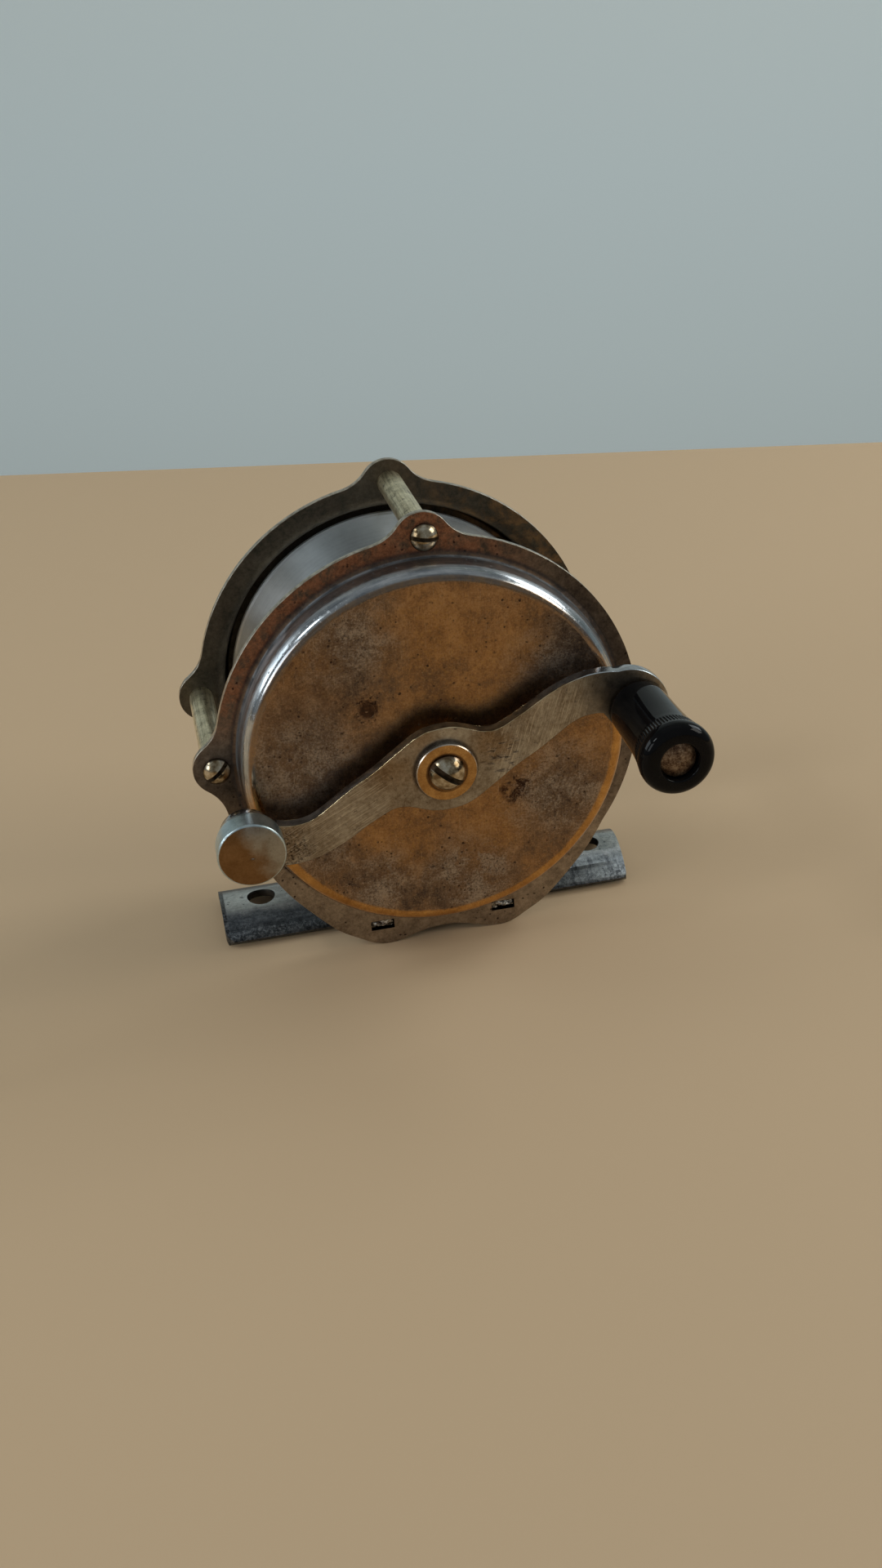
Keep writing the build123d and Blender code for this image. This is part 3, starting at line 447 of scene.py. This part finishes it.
    # sides, and the arrises: a painted highlight on the upward arrises, worn bright to brass, and painted shade with
    # grime on the downward ones
    edge = M.m("SUBTRACT", 1.0, flat)
    col = M.mix(edge, col, M.ramp(M.noise(1.5, detail=4), (0.38, (0.26, 0.27, 0.29)), (0.62, (0.52, 0.53, 0.55))))
    arris = M.m("MULTIPLY", M.step(front, 0.12, 0.30), M.step(front, 0.985, 0.93))
    worn_edge_highlight = M.mix(M.step(px, 17 * MM, 20 * MM), M.ramp(mid, (0.40, (0.48, 0.33, 0.155)), (0.60, (0.86, 0.70, 0.44))), (0.62, 0.68, 0.72))
    col = M.mix(M.m("MULTIPLY", arris, M.step(nz, -0.10, 0.12)), col, worn_edge_highlight)
    # painted shade on the downward arrises
    col = M.mix(M.m("MULTIPLY", M.m("MULTIPLY", arris, M.step(nz, 0.05, -0.15)), 0.9), col, (0.030, 0.022, 0.016))
    rough = M.m("ADD", 0.36, M.m("MULTIPLY", M.m("SUBTRACT", fine, 0.5), 0.30))
    rough = M.mixf(M.m("MAXIMUM", scuff, pits), rough, 0.60)
    rough = M.mixf(edge, rough, 0.17)
    M.bump((M.m("ADD", brush, brush2), 0.0035), (fine, 0.007), (mid, 0.014), (M.m("MULTIPLY", scuff, -1.0), 0.02))
    return M.set(col, rough)


def screw_material():
    M = Mat("screw_nickel")
    px, py, pz = M.xyz(M.P)
    z0 = M.m("SUBTRACT", pz, AXLE_Z)
    mid = M.noise(1.1, detail=5, rough=0.6)
    fine = M.noise(0.25, detail=5, rough=0.7)
    col = M.ramp(mid, (0.36, (0.17, 0.115, 0.060)), (0.46, (0.34, 0.27, 0.17)), (0.56, (0.52, 0.45, 0.33)), (0.66, (0.66, 0.60, 0.48)))
    rough = M.m("ADD", 0.17, M.m("MULTIPLY", M.m("SUBTRACT", fine, 0.4), 0.16))
    # painted shade in the driver slots
    slot_shade = None
    heads = []
    for x, z, slot_deg in ((0.80, 29.80, 8.0), (-30.02, 0.32, -40.0), (29.9, -0.52, 65.0)):
        heads.append((x, z, slot_deg, 0.275, 2.0))
    heads.append((0.0, 0.0, 38.0, 0.425, 2.7))
    for x, z, s, half, rad in heads:
        # the slot runs along (cos s, -sin s) in (x, z)
        c, q = math.cos(math.radians(s)), math.sin(math.radians(s))
        dx = M.m("SUBTRACT", px, x * MM)
        dz = M.m("SUBTRACT", z0, z * MM)
        across = M.m("ABSOLUTE", M.m("ADD", M.m("MULTIPLY", dx, q), M.m("MULTIPLY", dz, c)))
        near = M.m("SQRT", M.m("ADD", M.m("MULTIPLY", dx, dx), M.m("MULTIPLY", dz, dz)))
        k = M.m("MULTIPLY", M.step(across, (half + 0.05) * MM, (half - 0.03) * MM), M.step(near, (rad + 0.2) * MM, rad * MM))
        slot_shade = k if slot_shade is None else M.m("MAXIMUM", slot_shade, k)
    # painted shade round the rim of each pillar screw head
    head_rim_shade = None
    for x, z, s, half, rad in heads[:3]:
        dx = M.m("SUBTRACT", px, x * MM)
        dz = M.m("SUBTRACT", z0, z * MM)
        near = M.m("SQRT", M.m("ADD", M.m("MULTIPLY", dx, dx), M.m("MULTIPLY", dz, dz)))
        k = M.m("MULTIPLY", M.step(near, 1.72 * MM, 1.86 * MM), M.step(near, 2.4 * MM, 2.2 * MM))
        head_rim_shade = k if head_rim_shade is None else M.m("MAXIMUM", head_rim_shade, k)
    col = M.mix(M.m("MULTIPLY", head_rim_shade, 0.8), col, (0.040, 0.024, 0.014))
    slot_shade = M.m("MULTIPLY", slot_shade, M.step(py, -0.5 * MM, -1.0 * MM))
    # painted shade in the driver slots
    col = M.mix(M.m("MULTIPLY", slot_shade, 0.88), col, M.ramp(mid, (0.4, (0.010, 0.006, 0.004)), (0.65, (0.060, 0.032, 0.016))))
    rough = M.mixf(slot_shade, rough, 0.7)
    # painted shade round the foot of the crank screw's dome
    z1, r, up = polar_up(M)
    dome_foot_shade = M.m("MULTIPLY", M.m("MULTIPLY", M.step(r, 2.25 * MM, 2.55 * MM), M.step(r, 3.2 * MM, 3.0 * MM)), M.step(py, -10 * MM, -12 * MM))
    col = M.mix(M.m("MULTIPLY", dome_foot_shade, 0.8), col, (0.10, 0.055, 0.030))
    M.bump((fine, 0.003), (mid, 0.006))
    return M.set(col, rough)


def simple_metal(name, stops, rough_lo, rough_hi, size=2.0, fine_size=0.3, bump=0.004, anis=0.0, tangent=None,
                 speck=None):
    M = Mat(name, anisotropic=anis)
    mid = M.noise(size, detail=5, rough=0.62, dist=0.3)
    fine = M.noise(fine_size, detail=5, rough=0.7)
    col = M.ramp(mid, *stops)
    if speck:
        s = M.step(M.noise(fine_size * 2.2, detail=4, rough=0.7), 0.58, 0.68)
        col = M.mix(M.m("MULTIPLY", s, 0.7), col, speck)
    rough = M.lin(M.m("ADD", M.m("MULTIPLY", mid, 0.5), M.m("MULTIPLY", fine, 0.5)), 0.35, 0.65, rough_lo, rough_hi)
    M.bump((fine, bump), (mid, bump * 2))
    if tangent:
        t = M.new("ShaderNodeTangent", direction_type="RADIAL", axis=tangent)
        M.put(M.bsdf.inputs["Tangent"], t.outputs[0])
    return M.set(col, rough)


def turned_metal(name, stops, rough_lo, rough_hi, anis=0.6):
    """Turned face: fine concentric rings about the spool axis."""
    M = Mat(name, anisotropic=anis)
    px, py, pz = M.xyz(M.P)
    z0 = M.m("SUBTRACT", pz, AXLE_Z)
    r = M.m("SQRT", M.m("ADD", M.m("MULTIPLY", px, px), M.m("MULTIPLY", z0, z0)))
    rings = M.noise((0.22, 0.5, 50.0), detail=4, rough=0.7, at=M.vec(r, py, 0.0))
    mid = M.noise(5.0, detail=4, rough=0.6)
    col = M.ramp(M.m("ADD", M.m("MULTIPLY", mid, 0.7), M.m("MULTIPLY", rings, 0.3)), *stops)
    rough = M.lin(rings, 0.3, 0.7, rough_lo, rough_hi)
    M.bump((rings, 0.0004), (mid, 0.006))
    M.bsdf.inputs["Anisotropic Rotation"].default_value = 0.25
    t = M.new("ShaderNodeTangent", direction_type="RADIAL", axis="Y")
    M.put(M.bsdf.inputs["Tangent"], t.outputs[0])
    return M.set(col, rough)


def pillar_material():
    M = Mat("pillar_nickel")
    mid = M.noise(2.4, detail=5, rough=0.65)
    fine = M.noise(0.35, detail=6, rough=0.78)
    grain = M.noise((0.32, 7.0, 0.32), detail=5, rough=0.72)
    col = M.ramp(total(M, (mid, 0.30), (grain, 0.45), (fine, 0.25)), (0.40, (0.23, 0.19, 0.115)), (0.49, (0.60, 0.53, 0.35)),
                 (0.60, (0.90, 0.82, 0.60)))
    spots = M.step(M.noise(0.7, detail=5, rough=0.75, at=M.v("ADD", M.P, (0.03, 0.02, 0.05))), 0.58, 0.66)
    col = M.mix(M.m("MULTIPLY", spots, 0.75), col, (0.070, 0.056, 0.036))
    rough = M.m("ADD", 0.38, M.m("MULTIPLY", M.m("SUBTRACT", fine, 0.5), 0.3))
    M.bump((grain, 0.006), (fine, 0.006))
    return M.set(col, rough)


def weight_material():
    M = Mat("weight_metal")
    px, py, pz = M.xyz(M.P)
    nx, ny, nz = M.xyz(M.N)
    dx = M.m("ADD", px, 27.4 * MM)
    dz = M.m("SUBTRACT", pz, AXLE_Z - 5.9 * MM)
    front = M.step(ny, -0.86, -0.965)
    mid = M.noise(2.4, detail=5, rough=0.6, dist=0.3)
    fine = M.noise(0.4, detail=6, rough=0.75)
    # painted reflection across the face: brown to the lower left, grey to the upper right
    face_reflection_slope = M.m("ADD", M.m("MULTIPLY", M.m("ADD", M.m("MULTIPLY", dx, 0.85), M.m("MULTIPLY", dz, 0.40)), 150.0),
            M.m("MULTIPLY", M.m("SUBTRACT", mid, 0.5), 0.7))
    brown = M.ramp(total(M, (mid, 0.5), (fine, 0.5)), (0.36, (0.165, 0.086, 0.034)), (0.64, (0.262, 0.150, 0.068)))
    grey = M.ramp(total(M, (mid, 0.5), (fine, 0.5)), (0.36, (0.260, 0.240, 0.205)), (0.64, (0.380, 0.360, 0.320)))
    face = M.mix(M.step(face_reflection_slope, -0.10, 0.42), brown, grey)
    side = M.ramp(total(M, (mid, 0.5), (fine, 0.5)), (0.38, (0.40, 0.50, 0.53)), (0.62, (0.62, 0.72, 0.75)))
    col = M.mix(front, side, face)
    speck = M.step(M.noise(0.7, detail=4, rough=0.7), 0.62, 0.70)
    col = M.mix(M.m("MULTIPLY", speck, 0.5), col, (0.08, 0.045, 0.03))
    rough = M.m("ADD", M.mixf(front, 0.34, 0.31), M.m("MULTIPLY", M.m("SUBTRACT", fine, 0.5), 0.12))
    M.bump((fine, 0.0025), (mid, 0.006))
    return M.set(col, rough)


def washer_material():
    """The crank's brass washer: brass face, plated side, painted shade round the screw's dome."""
    M = Mat("washer_brass")
    z0, r, up = polar_up(M)
    nx, ny, nz = M.xyz(M.N)
    mid = M.noise(1.4, detail=5, rough=0.6)
    fine = M.noise(0.3, detail=6, rough=0.75)
    col = M.ramp(total(M, (mid, 0.6), (fine, 0.4)), (0.38, (0.36, 0.190, 0.065)), (0.62, (0.56, 0.330, 0.125)))
    col = M.mix(M.step(M.m("ABSOLUTE", ny), 0.85, 0.6), col, M.ramp(mid, (0.4, (0.42, 0.41, 0.39)), (0.6, (0.72, 0.71, 0.68))))
    # painted shade round the foot of the screw's dome
    col = M.mix(M.m("MULTIPLY", M.step(r, 3.05 * MM, 2.75 * MM), 0.85), col, (0.060, 0.030, 0.018))
    rough = M.m("ADD", 0.26, M.m("MULTIPLY", M.m("SUBTRACT", fine, 0.5), 0.2))
    M.bump((fine, 0.004), (mid, 0.006))
    return M.set(col, rough)


def foot_material():
    M = Mat("foot_zinc")
    px, py, pz = M.xyz(M.P)
    mid = M.noise(3.0, detail=5, rough=0.62, dist=0.4)
    fine = M.noise(0.45, detail=7, rough=0.78)
    along = M.noise((5.0, 0.45, 0.45), detail=6, rough=0.72)
    apy = M.m("ABSOLUTE", py)
    # painted reflection: a light crown, and dark slopes where the sheet turns down
    crown_lit_mask = M.step(M.m("ADD", apy, M.m("MULTIPLY", M.m("SUBTRACT", mid, 0.5), 4 * MM)), 4.2 * MM, 1.6 * MM)
    mixn = total(M, (mid, 0.35), (along, 0.25), (fine, 0.40))
    slope_dark_reflection = M.ramp(mixn, (0.38, (0.026, 0.028, 0.031)), (0.50, (0.085, 0.093, 0.101)), (0.62, (0.190, 0.204, 0.214)))
    top = M.ramp(mixn, (0.38, (0.290, 0.295, 0.288)), (0.50, (0.500, 0.505, 0.490)), (0.62, (0.680, 0.685, 0.665)))
    col = M.mix(crown_lit_mask, slope_dark_reflection, top)
    # the right end is paler, with upright scuffs
    pale = M.m("MULTIPLY", M.step(px, 15 * MM, 22 * MM), M.step(M.noise((0.9, 3, 3), detail=5, rough=0.7), 0.36, 0.60))
    col = M.mix(M.m("MULTIPLY", pale, 0.65), col, M.ramp(fine, (0.40, (0.190, 0.210, 0.212)), (0.62, (0.350, 0.375, 0.375))))
    # scuffs along the lower edges, rough cut sides painted dark
    low = M.step(M.m("ADD", apy, M.m("MULTIPLY", M.m("SUBTRACT", along, 0.5), 3.0 * MM)), 5.6 * MM, 6.6 * MM)
    col = M.mix(M.m("MULTIPLY", M.m("MULTIPLY", low, M.step(fine, 0.46, 0.62)), 0.45), col, (0.40, 0.43, 0.45))
    # painted contact shadow along the long cut sides; the torn left end is a dark rough cut
    cut = M.m("MAXIMUM", M.step(M.m("ADD", apy, M.m("MULTIPLY", M.m("SUBTRACT", fine, 0.5), 0.5 * MM)), 6.90 * MM, 7.10 * MM),
              M.step(M.m("SUBTRACT", px, M.m("MULTIPLY", M.m("SUBTRACT", fine, 0.5), 0.5 * MM)), -31.10 * MM, -31.30 * MM))
    col = M.mix(M.m("MULTIPLY", cut, 0.9), col, M.ramp(fine, (0.40, (0.012, 0.012, 0.014)), (0.66, (0.200, 0.205, 0.210))))
    # painted glint on the rim round each hole, painted shade on the hole wall
    hole = None
    for hx in (-25.6, 25.6):
        dx = M.m("SUBTRACT", px, hx * MM)
        d = M.m("SQRT", M.m("ADD", M.m("MULTIPLY", dx, dx), M.m("MULTIPLY", py, py)))
        k = M.m("MULTIPLY", M.step(d, 2.46 * MM, 2.28 * MM), M.lin(mid, 0.40, 0.60, 0.2, 0.8))
        wall = M.step(d, 2.16 * MM, 2.10 * MM)
        k = M.m("SUBTRACT", k, M.m("MULTIPLY", wall, 2.0))
        hole = k if hole is None else M.m("MAXIMUM", hole, k) if hx < 0 else M.m("ADD", hole, k)
    col = M.mix(M.m("MULTIPLY", M.m("MAXIMUM", hole, 0.0), 0.8), col, (0.62, 0.63, 0.62))
    col = M.mix(M.m("MULTIPLY", M.m("MULTIPLY", hole, -1.0, clamp=True), 0.85), col, (0.02, 0.018, 0.016))
    spots = M.step(M.noise(0.8, detail=4, rough=0.7, at=M.v("ADD", M.P, (0.02, 0.04, 0.01))), 0.60, 0.68)
    col = M.mix(M.m("MULTIPLY", spots, 0.7), col, (0.030, 0.030, 0.032))
    # tab ends inside the slots
    tab = M.step(apy, 10.9 * MM, 11.5 * MM)
    col = M.mix(tab, col, M.ramp(fine, (0.45, (0.012, 0.010, 0.009)), (0.62, (0.30, 0.28, 0.26))))
    rough = M.m("ADD", 0.40, M.m("MULTIPLY", M.m("SUBTRACT", fine, 0.5), 0.35))
    M.bump((fine, 0.014), (along, 0.010), (mid, 0.02))
    return M.set(col, rough)


def knob_material():
    M = Mat("knob_black", metallic=0.0, ior=1.36, specular=0.20)
    fine = M.noise(0.35, detail=5, rough=0.7)
    mid = M.noise(3.0, detail=4)
    col = M.ramp(mid, (0.3, (0.0022, 0.0022, 0.0026)), (0.7, (0.0045, 0.0045, 0.0050)))
    rough = M.m("ADD", 0.05, M.m("MULTIPLY", M.m("SUBTRACT", fine, 0.45), 0.06))
    scr = M.noise((0.12, 3.5, 0.12), detail=4, rough=0.7)
    M.bump((scr, 0.0012), (mid, 0.012))
    return M.set(col, rough)


def rivet_material(name="rivet_tarnished"):
    M = Mat(name)
    mid = M.noise(1.0, detail=5, rough=0.65)
    fine = M.noise(0.3, detail=5, rough=0.7)
    col = M.ramp(M.m("ADD", M.m("MULTIPLY", mid, 0.5), M.m("MULTIPLY", fine, 0.5)), (0.38, (0.040, 0.024, 0.017)),
                 (0.48, (0.145, 0.095, 0.064)), (0.60, (0.33, 0.255, 0.185)))
    M.bump((fine, 0.012), (mid, 0.02))
    return M.set(col, 0.5)


plate = plate_material()
crank = crank_material()
screw = screw_material()
pillar = pillar_material()
brass = simple_metal("worn_brass", ((0.30, (0.30, 0.165, 0.060)), (0.5, (0.45, 0.255, 0.095)), (0.70, (0.56, 0.34, 0.135))),
                     0.26, 0.40, size=1.6, fine_size=0.3, bump=0.004, speck=(0.14, 0.07, 0.03))
steel = simple_metal("bare_steel", ((0.30, (0.30, 0.29, 0.28)), (0.5, (0.46, 0.45, 0.44)), (0.70, (0.58, 0.57, 0.56))),
                     0.24, 0.38, size=1.6, fine_size=0.25, bump=0.003, speck=(0.18, 0.12, 0.08))
spool = turned_metal("spool_metal", ((0.30, (0.62, 0.64, 0.65)), (0.5, (0.80, 0.83, 0.84)), (0.70, (0.92, 0.94, 0.95))),
                     0.36, 0.41, anis=1.0)
weight = weight_material()
washer = washer_material()
foot = foot_material()
black = knob_material()
rivet = rivet_material()

look = {
    "front_plate": plate, "back_plate": plate,
    "top_pillar": pillar, "left_pillar": pillar, "right_pillar": pillar,
    "pillar_screws_front": screw, "pillar_screws_rear": screw, "crank_screw": screw, "end_cap": pillar,
    "foot": foot, "front_bush": brass, "bearing_bridge": brass, "bridge_rivets": plate, "rear_bush": brass,
    "crank_washer": washer, "knob_washer": brass, "click_wheel": brass, "spring_rivets": brass,
    "click_spring": steel, "click_pawl": steel, "spool_shaft": steel,
    "spool_arbor": spool, "spool_flange_front": spool, "spool_flange_rear": spool,
    "crank_plate": crank, "counterweight": weight, "click_button": weight, "knob_rivet": rivet, "knob": black,
}
for name, material in look.items():
    o = nodes[name]
    o.data.materials.clear()
    o.data.materials.append(material)


def soften(name, width, segments=2, angle=38):
    """Small rounded arrises on a CAD node, by modifiers only."""
    o = nodes[name]
    w = o.modifiers.new("weld", "WELD")
    w.merge_threshold = 1e-6
    b = o.modifiers.new("arris", "BEVEL")
    b.width = width * MM
    b.segments = segments
    b.limit_method = "ANGLE"
    b.angle_limit = math.radians(angle)
    b.harden_normals = True
    b.miter_outer = "MITER_ARC"


soften("crank_plate", 0.19)
soften("front_plate", 0.12)
soften("back_plate", 0.12)
soften("foot", 0.14)


def torn_tab(name, x, side, seed):
    """The folded, torn end of a foot tab filling one slot of a side plate."""
    nx_, nz_ = 13, 6
    verts, faces = [], []
    state = seed
    for j in range(nz_ + 1):
        for i in range(nx_ + 1):
            state = (state * 1103515245 + 12345) & 0x7FFFFFFF
            a = state / 0x7FFFFFFF
            state = (state * 1103515245 + 12345) & 0x7FFFFFFF
            b = state / 0x7FFFFFFF
            u, v = 2.0 * i / nx_ - 1.0, 2.0 * j / nz_ - 1.0
            ragged = 1.0 - 0.16 * a * abs(v)
            wave = 0.5 + 0.5 * math.sin(3.1 * u + seed + 1.7 * v)
            depth = 12.03 + 0.48 * wave * (1.0 - v * v * 0.7) * (1.0 - u ** 4) + 0.09 * (b - 0.5)
            verts.append(((x + 1.56 * u * ragged + 0.04 * (b - 0.5)) * MM, side * depth * MM,
                          AXLE_Z + (-28.9 + 0.60 * v * (0.80 + 0.20 * math.cos(2.3 * u + seed))) * MM))
    for j in range(nz_):
        for i in range(nx_):
            k = j * (nx_ + 1) + i
            faces.append((k, k + 1, k + nx_ + 2, k + nx_ + 1))
    me = bpy.data.meshes.new(name)
    me.from_pydata(verts, [], faces)
    me.update()
    for f_ in me.polygons:
        f_.use_smooth = False
    o = bpy.data.objects.new(name, me)
    scene.collection.objects.link(o)
    o.data.materials.append(torn)
    sol = o.modifiers.new("sheet", "SOLIDIFY")
    sol.thickness = 0.10 * MM
    sol.offset = 0.0
    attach(o, "frame")
    return o


torn = simple_metal("torn_sheet", ((0.40, (0.10, 0.088, 0.072)), (0.5, (0.42, 0.39, 0.34)), (0.60, (0.86, 0.83, 0.77))),
                    0.25, 0.5, size=0.8, fine_size=0.2, bump=0.006)
for n_, (x_, side_, seed_) in enumerate(((-9.1, -1, 3), (9.1, -1, 8), (-9.1, 1, 5), (9.1, 1, 12))):
    torn_tab("tab_end_%d" % (n_ + 1), x_, side_, seed_)


def knob_profile():
    """Outline of the knob, (radius, depth from its base) in millimetres."""
    def spline(pts, steps):
        out = []
        for i in range(len(pts) - 1):
            p0 = Vector(pts[max(i - 1, 0)])
            p1, p2 = Vector(pts[i]), Vector(pts[i + 1])
            p3 = Vector(pts[min(i + 2, len(pts) - 1)])
            for k in range(steps):
                t = k / steps
                out.append(0.5 * (2 * p1 + (p2 - p0) * t + (2 * p0 - 5 * p1 + 4 * p2 - p3) * t * t
                                  + (3 * p1 - 3 * p2 + p3 - p0) * t ** 3))
        out.append(Vector(pts[-1]))
        return [(p.x, p.y) for p in out]
    pts = [(1.55, 0.0), (3.86, 0.0), (3.98, 0.04), (4.06, 0.14), (4.10, 0.32)]
    pts += spline([(4.10, 0.32), (4.16, 4.5), (4.28, 8.5), (4.48, 11.2)], 4)[1:]
    pts += spline([(4.48, 11.2), (4.58, 12.0), (4.70, 12.8), (4.82, 13.5), (4.91, 14.0), (5.03, 14.7)], 6)[1:]
    pts += spline([(5.03, 14.7), (5.00, 15.45), (4.69, 16.18), (4.09, 16.63), (3.4, 16.78)], 6)[1:]
    pts += [(2.88, 16.78), (2.74, 16.74), (2.65, 16.64), (2.63, 16.5), (2.63, 15.28), (1.55, 15.28)]
    return pts


def knob_body():
    count, per = 66, 8
    seg = count * per
    prof = knob_profile()
    ax, az, y0 = 27.12, AXLE_Z / MM + 5.0, -21.95
    bm = bmesh.new()
    rows = []
    for r_, d_ in prof:
        ring_ = []
        # milled band: shallow rounded flutes that fade in and out
        if r_ > 4.0 and 12.1 < d_ < 14.3:
            f_ = min(1.0, (d_ - 12.1) / 0.35, (14.3 - d_) / 0.30)
        else:
            f_ = 0.0
        for k in range(seg):
            t = 2 * math.pi * k / seg
            cut = 0.14 * f_ * (0.5 - 0.5 * math.cos(count * t))
            rr = r_ - cut
            ring_.append(bm.verts.new(((ax + rr * math.cos(t)) * MM, (y0 - d_) * MM, (az + rr * math.sin(t)) * MM)))
        rows.append(ring_)
    for a_, b_ in zip(rows, rows[1:] + rows[:1]):
        for k in range(seg):
            q = (k + 1) % seg
            bm.faces.new((a_[k], a_[q], b_[q], b_[k]))
    bmesh.ops.recalc_face_normals(bm, faces=bm.faces)
    me = bpy.data.meshes.new("knob_body")
    bm.to_mesh(me)
    bm.free()
    for f_ in me.polygons:
        f_.use_smooth = True
    me.set_sharp_from_angle(angle=math.radians(50))
    o = bpy.data.objects.new("knob_body", me)
    scene.collection.objects.link(o)
    o.data.materials.append(black)
    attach(o, "knob")
    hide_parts("knob")
    return o


knob_body()


# ---------------------------------------------------------- studio and camera
def mesh_object(name, verts, faces, material):
    me = bpy.data.meshes.new(name)
    me.from_pydata(verts, [], faces)
    me.update()
    o = bpy.data.objects.new(name, me)
    scene.collection.objects.link(o)
    o.data.materials.append(material)
    return o


def plain(name, color, rough=0.75):
    m = bpy.data.materials.new(name)
    m.use_nodes = True
    b = m.node_tree.nodes["Principled BSDF"]
    b.inputs["Base Color"].default_value = (*color, 1)
    b.inputs["Roughness"].default_value = rough
    b.inputs["Specular IOR Level"].default_value = 0.3
    return m


floor_z = cad_lo.z - 0.00002
floor_mat = plain("floor_pale", (0.66, 0.475, 0.295), 0.7)
wall_mat = plain("wall_pale", (0.86, 0.95, 0.94), 0.9)
# the floor, and a plain backdrop behind it
f = 3.0
edge_a, edge_b = Vector((-0.070, 0.250, 0)), Vector((0.164, 0.184, 0))
along_edge = (edge_b - edge_a).normalized()
behind = Vector((-along_edge.y, along_edge.x, 0))
mid_edge = (edge_a + edge_b) / 2
p, q = mid_edge - along_edge * f, mid_edge + along_edge * f
floor = mesh_object("floor", [(p.x - behind.x * f, p.y - behind.y * f, floor_z), (q.x - behind.x * f, q.y - behind.y * f, floor_z),
                              (q.x, q.y, floor_z), (p.x, p.y, floor_z)], [(0, 1, 2, 3)], floor_mat)
p, q = p + behind * 0.5, q + behind * 0.5
wall = mesh_object("backdrop", [(p.x, p.y, floor_z - 0.8), (q.x, q.y, floor_z - 0.8), (q.x, q.y, 2.0), (p.x, p.y, 2.0)],
                   [(0, 1, 2, 3)], wall_mat)


def area(name, loc, target, sx, sy, radiance, color):
    d = bpy.data.lights.new(name, "AREA")
    d.shape = "RECTANGLE"
    d.size, d.size_y = sx, sy
    d.energy = radiance * math.pi * sx * sy
    d.color = color
    o = bpy.data.objects.new(name, d)
    scene.collection.objects.link(o)
    o.location = loc
    o.rotation_mode = "QUATERNION"
    o.rotation_quaternion = (Vector(target) - Vector(loc)).to_track_quat("-Z", "Y")
    return o


aim = (0.0, 0.0, 0.03)
area("soft_left_back", (-0.62, 0.19, 0.27), aim, 0.30, 0.26, 3.4, (0.88, 0.96, 1.0))
area("soft_left_front", (-0.62, -0.31, 0.27), aim, 0.26, 0.26, 3.4, (0.94, 0.98, 1.0))
area("soft_right_back", (0.60, 0.17, 0.40), aim, 0.28, 0.30, 4.6, (0.92, 0.97, 1.0))
area("soft_right_front", (0.60, -0.20, 0.38), aim, 0.30, 0.28, 4.2, (1.0, 0.98, 0.88))
area("soft_top", (0.0, 0.10, 0.95), aim, 0.8, 0.8, 0.06, (1.0, 0.99, 0.97))
area("soft_top_left", (-0.78, -0.17, 0.76), aim, 0.19, 0.19, 9.0, (0.90, 0.97, 1.0))

world = bpy.data.worlds.new("world")
scene.world = world
world.use_nodes = True
bg = world.node_tree.nodes["Background"]
bg.inputs[0].default_value = (0.90, 0.97, 1.0, 1)
bg.inputs[1].default_value = 0.24

cam_data = bpy.data.cameras.new("camera")
cam_data.lens = 37.59
cam_data.sensor_width = 36.0
cam_data.clip_start, cam_data.clip_end = 0.01, 20
cam = bpy.data.objects.new("camera", cam_data)
scene.collection.objects.link(cam)
right = Vector((0.975153, -0.214012, -0.057230))
down = Vector((-0.151259, -0.454475, -0.877823))
ahead = Vector((0.161855, 0.864668, -0.475554))
rot = Matrix((right, -down, -ahead)).transposed()
cam.matrix_world = Matrix.Translation((-0.036611, -0.213110, 0.132129)) @ rot.to_4x4()
scene.camera = cam

bpy.context.view_layer.update()
